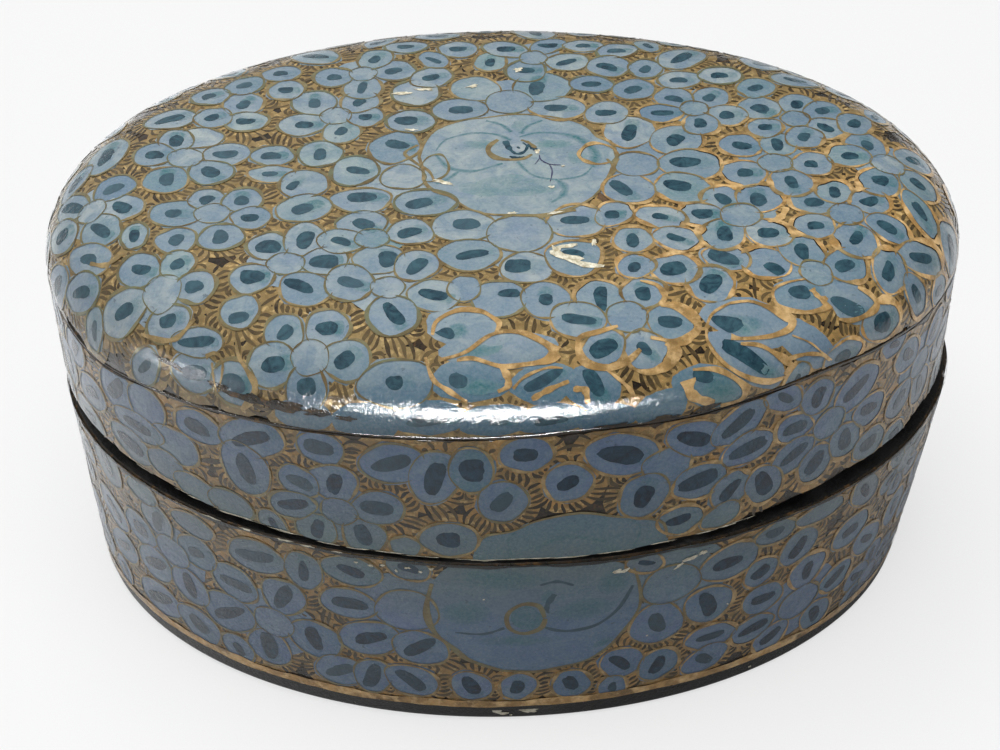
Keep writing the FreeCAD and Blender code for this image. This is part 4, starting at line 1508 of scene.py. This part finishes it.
top_lines = [
    rose_sheet("lid_top_rose", TOP_ROSE, (2, 0), ON_TOP, top_paints["blue"], 0.5, 0.12),
    brush_lines("lid_top_rose_lines", TOP_ROSE_LINES, ON_TOP, DAB, top_paints["blue"], soft_marks(1.2)),
    blots("lid_top_rose_shading", LID_TOP_ROSE_SHADING, ON_TOP, TAIL + 0.01 * MM, top_paints["blue"],
          lambda count: {"tone": 0.2, "teal": 0.5, "tail": 0.42 * (1 - patch_reach ** 1.5)}),
    blots("lid_top_rose_heart", ((2, 3.3, 2.8, 1.9, 0),), ON_TOP, DAB, top_paints["blue"],
          lambda count: {"tone": 1.2, "teal": 0, "tail": 0}, rag=0.03),
    brush_lines("lid_top_rose_heart_strokes", LID_TOP_ROSE_HEART_STROKES, ON_TOP, CRESCENT,
                top_paints["dab"], even_tone),
    brush_lines("lid_top_rose_gold", LID_TOP_ROSE_GOLD, ON_TOP, GOLD, top_paints["gold"],
                plain_marks(0.2)),
]
LID_TOP_GOLD_STROKES = (
    (((31.6, -13.4), (33.2, -12.6), (34.2, -10.6)), 0.5, 1.0, 0.6),
    (((-7.2, -36.2), (-4.3, -35.3), (-1.4, -33.1), (1.7, -32.8), (4.3, -34.1), (5.8, -35.4)),
     0.5, 0.45, 0.5, 0.55, 0.9, 1.4),
    (((5.8, -35.4), (4.7, -36.4), (2.3, -36.9), (-0.4, -37.1), (-3.5, -36.1), (-5.3, -36.3)),
     1.4, 1.0, 0.5, 0.6, 0.5, 0.4),
    (((-8, -33), (-7.5, -31), (-5.1, -29.4), (-2.7, -29.6), (-1.3, -30.6), (-0.5, -31.6), (-1, -33)),
     0.3, 0.5, 0.8, 0.7, 0.6, 0.6, 0.4),
    (((-0.4, -37.2), (0.3, -38.3), (0.3, -39.4), (-0.8, -40)), 0.5, 0.9, 0.7, 0.3),
    (((-8.8, -35.8), (-8, -38.4), (-6.3, -39.8), (-4.3, -41.1)), 0.3, 0.5, 0.6, 0.4),
    (((3, -40.9), (4.7, -39.9), (7.1, -38.8)), 0.6, 0.7, 0.35),
    (((0.9, -39.7), (2.3, -38.3), (4.7, -37.3), (6.4, -37.3)), 0.3, 0.35, 0.3, 0.2),
    (((7.6, -39.7), (8.9, -39.8), (9.3, -41.3)), 0.5, 0.9, 0.5),
    (((11.2, -37.3), (13, -38.6), (14.1, -39.6), (14.8, -40.8)), 0.25, 0.4, 0.5, 0.7),
    (((12.7, -31.9), (10.5, -32.7), (8.4, -33.5), (8.3, -35.4), (9.2, -36.7), (11.6, -37.1),
      (13.7, -36.2), (15.1, -34.8)), 0.4, 0.6, 0.7, 0.9, 1.0, 1.0, 0.7, 0.5),
    (((18.2, -33.8), (19, -34.7), (18.7, -36.1), (17, -37.1), (15.2, -37.4)), 1.0, 1.4, 1.3, 0.8, 0.4),
    (((17.7, -28.9), (19.2, -29.2), (21.1, -30.4), (21.7, -31.8), (20.6, -33), (18.7, -33.6),
      (16.3, -33.3)), 0.4, 0.7, 1.1, 1.1, 0.8, 0.5, 0.4),
    (((15.7, -24.7), (17.5, -25.6), (18.3, -27.5), (17.7, -28.9)), 0.3, 0.7, 0.7, 0.4),
    (((25.4, -28.2), (23.4, -29.8), (22.6, -32.1), (23.1, -34.1), (25.2, -36), (28.1, -37),
      (30.9, -37.1), (32.8, -36.3)), 0.3, 0.3, 0.35, 0.35, 0.45, 0.75, 0.7, 0.4),
    (((25.4, -28.2), (27.6, -27.7), (29.5, -28.2), (31.3, -29), (32.4, -29.6), (32.2, -30.6),
      (30.6, -31.6), (28.7, -32.2), (26.5, -32.6), (25.4, -32.5)),
     0.3, 0.45, 0.6, 1.1, 1.3, 1.0, 0.5, 0.45, 0.5, 0.8),
    (((26.5, -33.2), (28.7, -33.1), (30.7, -33.8), (32.2, -34.4), (33, -35), (32.5, -36)),
     0.35, 0.5, 0.6, 1.1, 0.8, 0.5),
    (((32.2, -34.3), (34.5, -33.3), (36.9, -33), (38.5, -33.4)), 0.5, 0.5, 0.4, 0.3),
    (((32.5, -31.4), (34.9, -31.9), (36.8, -32.7), (38.8, -33.3)), 0.15, 0.2, 0.22, 0.2),
    (((34.5, -23.9), (32.4, -24.6), (30.7, -25.7), (30.5, -27.1), (31.3, -28.2), (34.1, -28.4),
      (36.4, -27.5), (37, -26.7)), 0.3, 0.3, 0.35, 0.4, 0.6, 0.5, 0.8, 1.3),
    (((36.8, -26.6), (35.8, -26.1), (35.1, -25.2)), 1.3, 0.6, 0.8),
    (((40.9, -23.8), (42.6, -24.3), (43.6, -25.4), (42.4, -26.8), (40.3, -28.1), (38.4, -28.4)),
     0.4, 0.7, 0.9, 0.7, 0.6, 0.3),
    (((21.1, -36.8), (23.8, -36.5), (26.2, -37.2), (28.1, -38.4), (27.8, -39.9), (25.5, -40.7)),
     0.3, 0.6, 0.7, 0.9, 0.8, 0.4),
    (((20.6, -38), (21.2, -39.5), (22.9, -40.2), (24.5, -40.2)), 1.7, 1.2, 1.1, 0.5),
)
top_lines.append(brush_lines("lid_top_gold_strokes", LID_TOP_GOLD_STROKES, ON_TOP, GOLD + 0.02 * MM,
                             top_paints["gold"], plain_marks(0.72)))
LID_TOP_DULL_STROKES = (
    (((-30.8, -31.5), (-30.6, -33.4), (-29.7, -35.2), (-29.1, -36.7), (-29.8, -38), (-32, -39)),
     0.2, 0.45, 0.6, 0.9, 1.0, 0.5),
    (((-34.9, -32.5), (-33.6, -32.4), (-32.8, -33.4), (-33.2, -34.9), (-34.3, -36.5)),
     0.7, 0.35, 0.3, 0.3, 0.2),
    (((-34.2, -33.3), (-34.4, -34.7), (-34.6, -36.4)), 0.3, 0.3, 0.2),
    (((-50.4, -15.6), (-48, -17), (-45.6, -16.4)), 0.4, 0.7, 0.4),
    (((-43.7, -27.5), (-40.3, -29.3), (-38.1, -29.4), (-35.9, -27.9)), 0.4, 0.6, 0.6, 0.4),
)
top_lines.append(brush_lines("lid_top_dull_strokes", LID_TOP_DULL_STROKES, ON_TOP, GOLD + 0.02 * MM,
                             top_paints["gold"], plain_marks(0.35)))
LID_TOP_TEAL_SMEARS = (
    (-2.8, -35.2, 4.6, 1.5, 12), (-2.6, -39.4, 4.6, 1.8, 4), (25, -38.8, 5, 3, -15),
    (41, -26.8, 4, 1.8, 5), (26.6, -31.2, 3, 1.6, -30), (30.4, -36, 2.4, 1.2, -20),
)
top_lines.append(blots("lid_top_teal_smears", LID_TOP_TEAL_SMEARS, ON_TOP,
                       TAIL + 0.014 * MM, top_paints["blue"],
                       lambda count: {"tone": -0.3, "teal": 0.4, "tail": 1 - patch_reach ** 2}, rag=0.1))
ride_with(top_lines, "lid")

LID_HALF_ROSE = (
    (19, 31.6), (18.2, 34.4), (15.4, 35.6), (12.6, 36.4), (8.4, 37.6), (3.6, 36.8), (0.6, 35.2),
    (-2.6, 34.4), (-3.8, 32), (-3, 29), (7, 27), (18, 29),
)
BASE_ROSE = (
    (16, 20.4), (15.6, 24.6), (14.6, 28), (10, 30.4), (2, 31), (-6, 30.4), (-9.2, 26.4), (-9.9, 21.6),
    (-9, 17.6), (-6.6, 14.6), (-4.6, 12.4), (-0.6, 10.4), (3.6, 9.9), (7, 10.6), (10, 11.4),
    (12.6, 13.4), (14.4, 16.4),
)
LID_WALL_ROSE_LINES = (
    (((0.6, 31), (0.2, 34), (2.6, 36.4)), 0.3, 0.6, 0.4),
    (((14.8, 31), (15.6, 34), (14, 35.8)), 0.3, 0.6, 0.4),
    (((3, 32), (6.8, 34), (11.6, 32.6)), 0.5, 1.4, 0.6),
)
wall_rose = [
    rose_sheet("lid_wall_rose", LID_HALF_ROSE, (7.5, 31), ON_LID_WALL, wall_paints["blue"], -0.7, 0.35),
    brush_lines("lid_wall_rose_lines", LID_WALL_ROSE_LINES, ON_LID_WALL, DAB, wall_paints["blue"],
                soft_marks(0.85)),
    brush_lines("lid_wall_rose_gold", ((LID_HALF_ROSE[:9], 0.3, 0.35, 0.3, 0.3),), ON_LID_WALL, GOLD,
                wall_paints["gold"], plain_marks(0.15)),
]
ride_with(wall_rose, "lid")
BASE_WALL_ROSE_SHADING = (
    (-5, 21.2, 4.6, 6, 80), (9, 21.4, 8, 4, 4), (1.4, 16.2, 11, 2.2, 0), (4.6, 24.2, 1.6, 2.6, -10),
    (-1, 27.6, 12, 4, 0), (12.4, 26, 4, 5, 0), (12, 14.6, 3, 1.4, 30),
)
BASE_WALL_ROSE_LINES = (
    (((4.4, 18.6), (6, 17.8), (8, 17.5), (11, 18.2), (13.4, 20.8), (14.8, 24.8)),
     0.3, 0.5, 0.5, 0.5, 0.5, 0.4),
    (((5.4, 24.6), (4.6, 22.6), (4.8, 21.2)), 0.8, 0.7, 0.3),
    (((3.6, 26.4), (5.6, 26.9), (7.6, 26)), 0.3, 0.5, 0.3),
    (((-0.4, 18.6), (-3, 17.4), (-6.4, 17.6)), 0.4, 0.4, 0.2),
)
BASE_WALL_ROSE_SWIRL = (
    (((1.2, 21.6), (2.6, 21.9), (3.1, 20.6), (2.2, 19.6), (1.3, 20.2)), 0.3, 0.6, 0.5, 0.4, 0.2),
)
BASE_WALL_ROSE_GOLD = (
    (((4.4, 20.4), (3.6, 22.6), (1.6, 23), (-0.1, 21.2), (0.2, 18.6), (2, 17.5), (4, 18.4), (4.5, 20.2)),
     0.5, 0.7, 0.5, 0.7, 0.6),
    (BASE_ROSE[6:12], 0.5, 0.9, 0.6, 0.8, 0.4),
    (BASE_ROSE[11:] + BASE_ROSE[:3], 0.4, 0.5, 0.3, 0.45, 0.4, 0.3),
)
base_rose = [
    rose_sheet("base_wall_rose", BASE_ROSE, (3, 20.5), ON_BASE_WALL, wall_paints["blue"], -0.3, 0.15),
    blots("base_wall_rose_shading", BASE_WALL_ROSE_SHADING, ON_BASE_WALL,
          TAIL + 0.01 * MM, wall_paints["blue"],
          lambda count: {"tone": -0.6, "teal": 0.3, "tail": 0.75 * (1 - patch_reach ** 1.6)}, rag=0.05),
    brush_lines("base_wall_rose_lines", BASE_WALL_ROSE_LINES, ON_BASE_WALL, DAB, wall_paints["dab"],
                lambda side, count: {"tone": 1.7 + 0 * side}),
    blots("base_wall_rose_heart", ((2.2, 20.4, 3.8, 4.4, 0),), ON_BASE_WALL, CRESCENT,
          wall_paints["blue"], lambda count: {"tone": -0.4, "teal": 0.6, "tail": 0.7}, rag=0.05),
    brush_lines("base_wall_rose_swirl", BASE_WALL_ROSE_SWIRL, ON_BASE_WALL, CRESCENT + 0.01 * MM,
                wall_paints["blue"], soft_marks(1)),
    brush_lines("base_wall_rose_gold", BASE_WALL_ROSE_GOLD, ON_BASE_WALL, GOLD, wall_paints["gold"],
                plain_marks(0.1)),
]
ride_with(base_rose, "base")


# The lines round the box: a broad gold line at the foot with black below it, and a dark, uneven band
# just under the rim of the base.
line_shine = 0.95
gold_line_low, gold_line_high = 2.95 * MM, 4.25 * MM
black_line_high = 3.2 * MM
rim_line_low, rim_line_high = rim_height - 0.42 * MM, rim_height - 0.02 * MM


def line_round(name, low, high, lift, paint, wave):
    """A painted line right round the base's wall, between two uneven heights."""
    piece = new_circle(name, 420)
    bpy.ops.mesh.extrude_region_move(TRANSFORM_OT_translate={"value": (0, 0, 1)})
    bpy.ops.object.mode_set(mode="OBJECT")
    start = np.array([vertex.co for vertex in piece.data.vertices])
    turn = np.arctan2(start[:, 0], -start[:, 1])
    run_along = np.interp(turn, arc_turns, arc_runs)
    height = np.where(start[:, 2] > 0.5, high(turn), low(turn))
    spots = base_wall_place(run_along, height)
    set_places(piece, spots + facing(base_wall_place, run_along, height) * lift)
    tone = 0.6 * np.sin(13 * turn + wave) + 0.4 * np.sin(31 * turn)
    for key, values in (("tone", tone), ("shine", np.full_like(tone, line_shine))):
        layer = piece.data.attributes.new(key, "FLOAT", "POINT")
        layer.data.foreach_set("value", values.astype(np.float32))
    tidy_shell(piece)
    piece.data.materials.append(paint)
    return piece


foot_line = line_round("foot_gold_line", lambda turn: gold_line_low + ragged(turn, 0.12 * MM),
                       lambda turn: gold_line_high + ragged(turn + 1, 0.25 * MM), GOLD + 0.02 * MM,
                       wall_paints["gold"], 1)
foot_black = line_round("foot_black_line", lambda turn: wall_foot_height + 0 * turn,
                        lambda turn: black_line_high + ragged(turn + 2, 0.1 * MM), GOLD, foot_coat, 2)
rim_dark = line_round("rim_dark_line", lambda turn: rim_line_low + ragged(turn, 0.3 * MM),
                      lambda turn: rim_line_high + 0 * turn, GOLD + 0.02 * MM, foot_coat, 0.4)
ride_with((foot_line, foot_black, rim_dark), "base")


# Wear: lacquer rubbed through to the brown and black below along the edges, the coat chipped down to its
# pale chalk on the crown and at both rims, and one fine dark crack beside the rose's heart. The thin pale
# dashes along the lid's lower edge and the base's rim stand in partly for light caught on those edges:
# painted highlights.
def chalk(name, pale, darker):
    made, tree, where, shader = coated(name, 0.8, 0.8, 1.0)
    grain = spread(tree, noise(tree, where, 1200, 4, 0.7), 0.35, 0.65)
    tree.links.new(blend(tree, grain, pale, darker), shader.inputs["Base Color"])
    return made


chipped = chalk("chipped_chalk", colour(226, 220, 200), colour(150, 140, 112))
rubbed_brown = chalk("rubbed_brown", colour(60, 46, 32), colour(96, 72, 46))
crackle = chalk("crackle", colour(36, 36, 70), colour(60, 60, 90))
LID_TOP_CHIPS = (
    (8.6, -20.6, 4.4, 1.5, -20), (6.2, -18.6, 1.2, 2.6, 20), (7.6, -17.6, 2.6, 0.7, 10),
    (-7, -4.2, 3, 0.7, -25), (-11.3, 7.9, 1.6, 0.5, 0), (1.3, -10.9, 1.2, 0.5, 0),
    (6.4, -10.9, 2, 0.4, 20), (-12.6, 16.7, 2.4, 0.6, 5), (-9.6, 17.6, 2, 0.7, 0),
    (6.2, -5.6, 0.6, 0.5, 0), (4.6, 2.3, 0.5, 0.8, 0), (7.7, -1, 0.4, 0.3, 0), (2.4, 22, 1.3, 1.1, 0),
    (-3.4, 18.2, 1.8, 0.6, 20), (10.8, -17, 0.5, 1.4, 0),
)
LID_TOP_RUBBED = (
    (13.4, -8.8, 4, 2.4, -30), (16, -10.4, 3.4, 1.2, -20), (11.4, -10.2, 2.4, 1.4, 20),
)
LID_TOP_WORN_EDGE = (
    (-33.4, -36.4, 4, 0.8, -28), (-30, -38, 5, 1.1, -23), (-26, -39.6, 5, 1.2, -17),
    (-21.8, -41, 4, 0.9, -12), (-18.6, -42, 2.6, 0.6, -8), (13, -44, 6, 0.6, 9), (19, -42.8, 5, 0.9, 16),
    (24, -41, 3, 0.7, 25), (-40, -32, 4, 0.7, -38),
)
LID_TOP_CRACKLE = (
    (((4.8, 1.5), (5, 0.4), (6, -0.6), (7.4, -0.8)), 0.1, 0.16, 0.1),
    (((6, -0.6), (6.3, -2.2), (6, -4.4)), 0.1, 0.18, 0.08), (((4.9, 0.9), (4.2, -0.6)), 0.06, 0.1, 0.05),
)
top_wear = [
    blots("lid_top_chips", LID_TOP_CHIPS, ON_TOP, GOLD + 0.03 * MM, chipped, even_tone, rag=0.3),
    blots("lid_top_rubbed", LID_TOP_RUBBED, ON_TOP, HATCH + 0.006 * MM, rubbed_brown, even_tone, rag=0.3),
    blots("lid_top_worn_edge", LID_TOP_WORN_EDGE, ON_TOP, GOLD + 0.02 * MM, edge_ground, even_tone,
          rag=0.3),
    brush_lines("lid_top_crackle", LID_TOP_CRACKLE, ON_TOP, GOLD + 0.03 * MM, crackle, even_tone),
]
ride_with(top_wear, "lid")
# Thin pale chips along the lid's lower edge: partly chipped coat, partly a painted highlight where that edge
# catches the light.
chance = np.random.default_rng(21)
lip_chips_and_glint = [(run, lid_edge(wall_turn(run * MM)) / MM + 0.1, chance.uniform(0.8, 3.4),
              chance.uniform(0.08, 0.2), 0)
             for run in chance.uniform(-48, 30, 46)]
lip_wear_and_glint = [blots("lid_lip_chips_and_glint", lip_chips_and_glint, (lid_wall_place, as_given), GOLD + 0.02 * MM, chipped,
                  even_tone, rag=0.25)]
ride_with(lip_wear_and_glint, "lid")
# Chips on the base's wall; the thin pale dashes at about 30 mm height, along the very rim, are a painted
# highlight of the rim's edge.
BASE_CHIPS_AND_RIM_GLINTS = (
    (13, 27.8, 1.5, 0.8, 20), (20.2, 26.9, 1.2, 0.5, 40), (21.6, 27.8, 2, 0.6, 10),
    (23.2, 28.3, 1.2, 0.7, 0), (-10.5, 28.4, 0.5, 0.4, 0), (-12, 28.9, 0.8, 0.4, 0),
    (-13.4, 28.2, 0.4, 0.4, 0), (-15, 28.9, 0.5, 0.3, 0), (-16.4, 28.6, 0.6, 0.4, 0),
    (-18.2, 28.8, 0.4, 0.3, 0), (-9.2, 29.1, 0.5, 0.4, 0), (-24, 30.1, 1.6, 0.3, 0),
    (-27.4, 30.1, 2.6, 0.35, 0), (-32, 30.2, 2, 0.3, 0), (-20.4, 30.1, 1.2, 0.25, 0),
    (-37, 30.2, 2.4, 0.3, 0), (28, 17, 0.3, 0.3, 0), (-3, 24, 0.25, 0.25, 0), (17.6, 14.6, 0.3, 0.3, 0),
)
base_wear_and_glints = [blots("base_chips_and_rim_glints", BASE_CHIPS_AND_RIM_GLINTS, (base_wall_place, as_given), GOLD + 0.03 * MM, chipped,
                   even_tone, rag=0.3)]
ride_with(base_wear_and_glints, "base")


def foot_place(run_along, height):
    """The foot's outer face, below the painted wall."""
    turn = wall_turn(run_along)
    curl = foot_round - np.sqrt(np.maximum(foot_round ** 2 - np.maximum(foot_round - height, 0) ** 2, 0))
    inset = base_inset(height) + curl
    along = (base_long - inset) * np.sin(turn) + base_shift(height)
    return np.stack([along, -(base_wide - inset) * np.cos(turn), height], -1)


FOOT_CHIPS = (
    (-0.6, 1.7, 1.7, 0.8, -8), (3.2, 2.1, 2, 1.1, -5), (0.9, 1.1, 0.4, 0.2, 0), (34, 1.6, 0.5, 0.3, 0),
)
foot_chips = blots("foot_chips", FOOT_CHIPS, (foot_place, as_given), 0.06 * MM, chipped,
                   even_tone, rag=0.28)
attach(foot_chips, "base")
for master in (patch_master, ring_master, stroke_master, rose_master, line_master):
    bpy.data.objects.remove(master)


# A pale table, with soft daylight from above and a long low window in front, whose reflection runs
# along the front shoulder. The camera stands a little above the box, as in the photograph.
shaded_middle = 0.03
shaded_reach = 0.02, 0.12


def grey(level):
    return (level, level, level, 1)


def pale_table():
    made = bpy.data.materials.new("pale_table")
    made.use_nodes = True
    tree = made.node_tree
    shader = tree.nodes["Principled BSDF"]
    paths = add(tree, "ShaderNodeLightPath")
    seen, mirrored = paths.outputs["Is Camera Ray"], paths.outputs["Is Glossy Ray"]
    sideways = place_along(tree, add(tree, "ShaderNodeTexCoord").outputs["Object"], "X")
    aside = reckon(tree, reckon(tree, sideways, shaded_middle, "SUBTRACT"), 0, "ABSOLUTE")
    in_gloss = blend(tree, spread(tree, aside, *shaded_reach), grey(0.32), grey(1))
    plain = blend(tree, mirrored, grey(0.22), in_gloss)
    tree.links.new(blend(tree, seen, plain, grey(0.2)), shader.inputs["Base Color"])
    tree.links.new(blend(tree, seen, grey(0), grey(0.665)), shader.inputs["Emission Color"])
    shader.inputs["Emission Strength"].default_value = 1
    shader.inputs["Roughness"].default_value = 0.9
    shader.inputs["Specular IOR Level"].default_value = 0.1
    return made


deselect()
bpy.ops.mesh.primitive_plane_add(size=12)
table = take("table")
table.data.materials.append(pale_table())


def soft_lamp(name, place, toward, width, depth, power):
    lamp = bpy.data.lights.new(name, "AREA")
    lamp.shape = "RECTANGLE"
    lamp.size, lamp.size_y = width, depth
    lamp.energy = power
    holder = bpy.data.objects.new(name, lamp)
    bpy.context.scene.collection.objects.link(holder)
    direction = Vector(toward) - Vector(place)
    holder.matrix_world = Matrix.Translation(place) @ direction.to_track_quat("-Z", "Y").to_matrix().to_4x4()
    return holder


overhead = soft_lamp("overhead", (-0.1, -0.05, 0.9), (0, 0, 0.03), width=0.9, depth=0.7, power=11)
overhead.visible_glossy = False
window = soft_lamp("low_window", (-0.08, -1.1, 0.3), (0, 0, 0.04), width=0.9, depth=0.045, power=38)
side_window = soft_lamp("side_window", (-1.3, -0.5, 0.05), (-0.05, 0, 0.04), width=0.4, depth=0.014,
                        power=3.5)
for lamp in (window, side_window):
    lamp.visible_diffuse = False

world = bpy.data.worlds.new("pale_room")
bpy.context.scene.world = world
world.use_nodes = True
world_tree = world.node_tree
background = world_tree.nodes["Background"]
background.inputs["Color"].default_value = (0.96, 0.98, 1.0, 1)
room_light, backdrop_light = 0.34, 0.93
paths = add(world_tree, "ShaderNodeLightPath")
sideways = place_along(world_tree, add(world_tree, "ShaderNodeTexCoord").outputs["Generated"], "X")
glow = spread(world_tree, sideways, -0.16, 0.14, 0.5, 0.14)
glow = reckon(world_tree, glow, room_light, "SUBTRACT")
mirrored = reckon(world_tree, paths.outputs["Is Glossy Ray"], glow)
seen = reckon(world_tree, paths.outputs["Is Camera Ray"], backdrop_light - room_light)
strength = reckon(world_tree, reckon(world_tree, mirrored, room_light, "ADD"), seen, "ADD")
world_tree.links.new(strength, background.inputs["Strength"])

camera_tilt = 0.691792
camera_roll = -0.015791
camera_distance = 269.94 * MM
camera_aim = Vector((-0.524, 0, 24.26)) * MM
focal_pixels, picture_pixels = 2000.886, 1000
camera_data = bpy.data.cameras.new("camera")
camera_data.sensor_width = 36
camera_data.lens = focal_pixels / picture_pixels * camera_data.sensor_width
camera_data.clip_start = 0.01
camera = bpy.data.objects.new("camera", camera_data)
bpy.context.scene.collection.objects.link(camera)
view_from = camera_aim - Vector((0, math.cos(camera_tilt), -math.sin(camera_tilt))) * camera_distance
camera.matrix_world = (Matrix.Translation(view_from) @ Matrix.Rotation(math.pi / 2 - camera_tilt, 4, "X")
                       @ Matrix.Rotation(camera_roll, 4, "Z"))
bpy.context.scene.camera = camera
bpy.context.scene.view_settings.view_transform = "Standard"
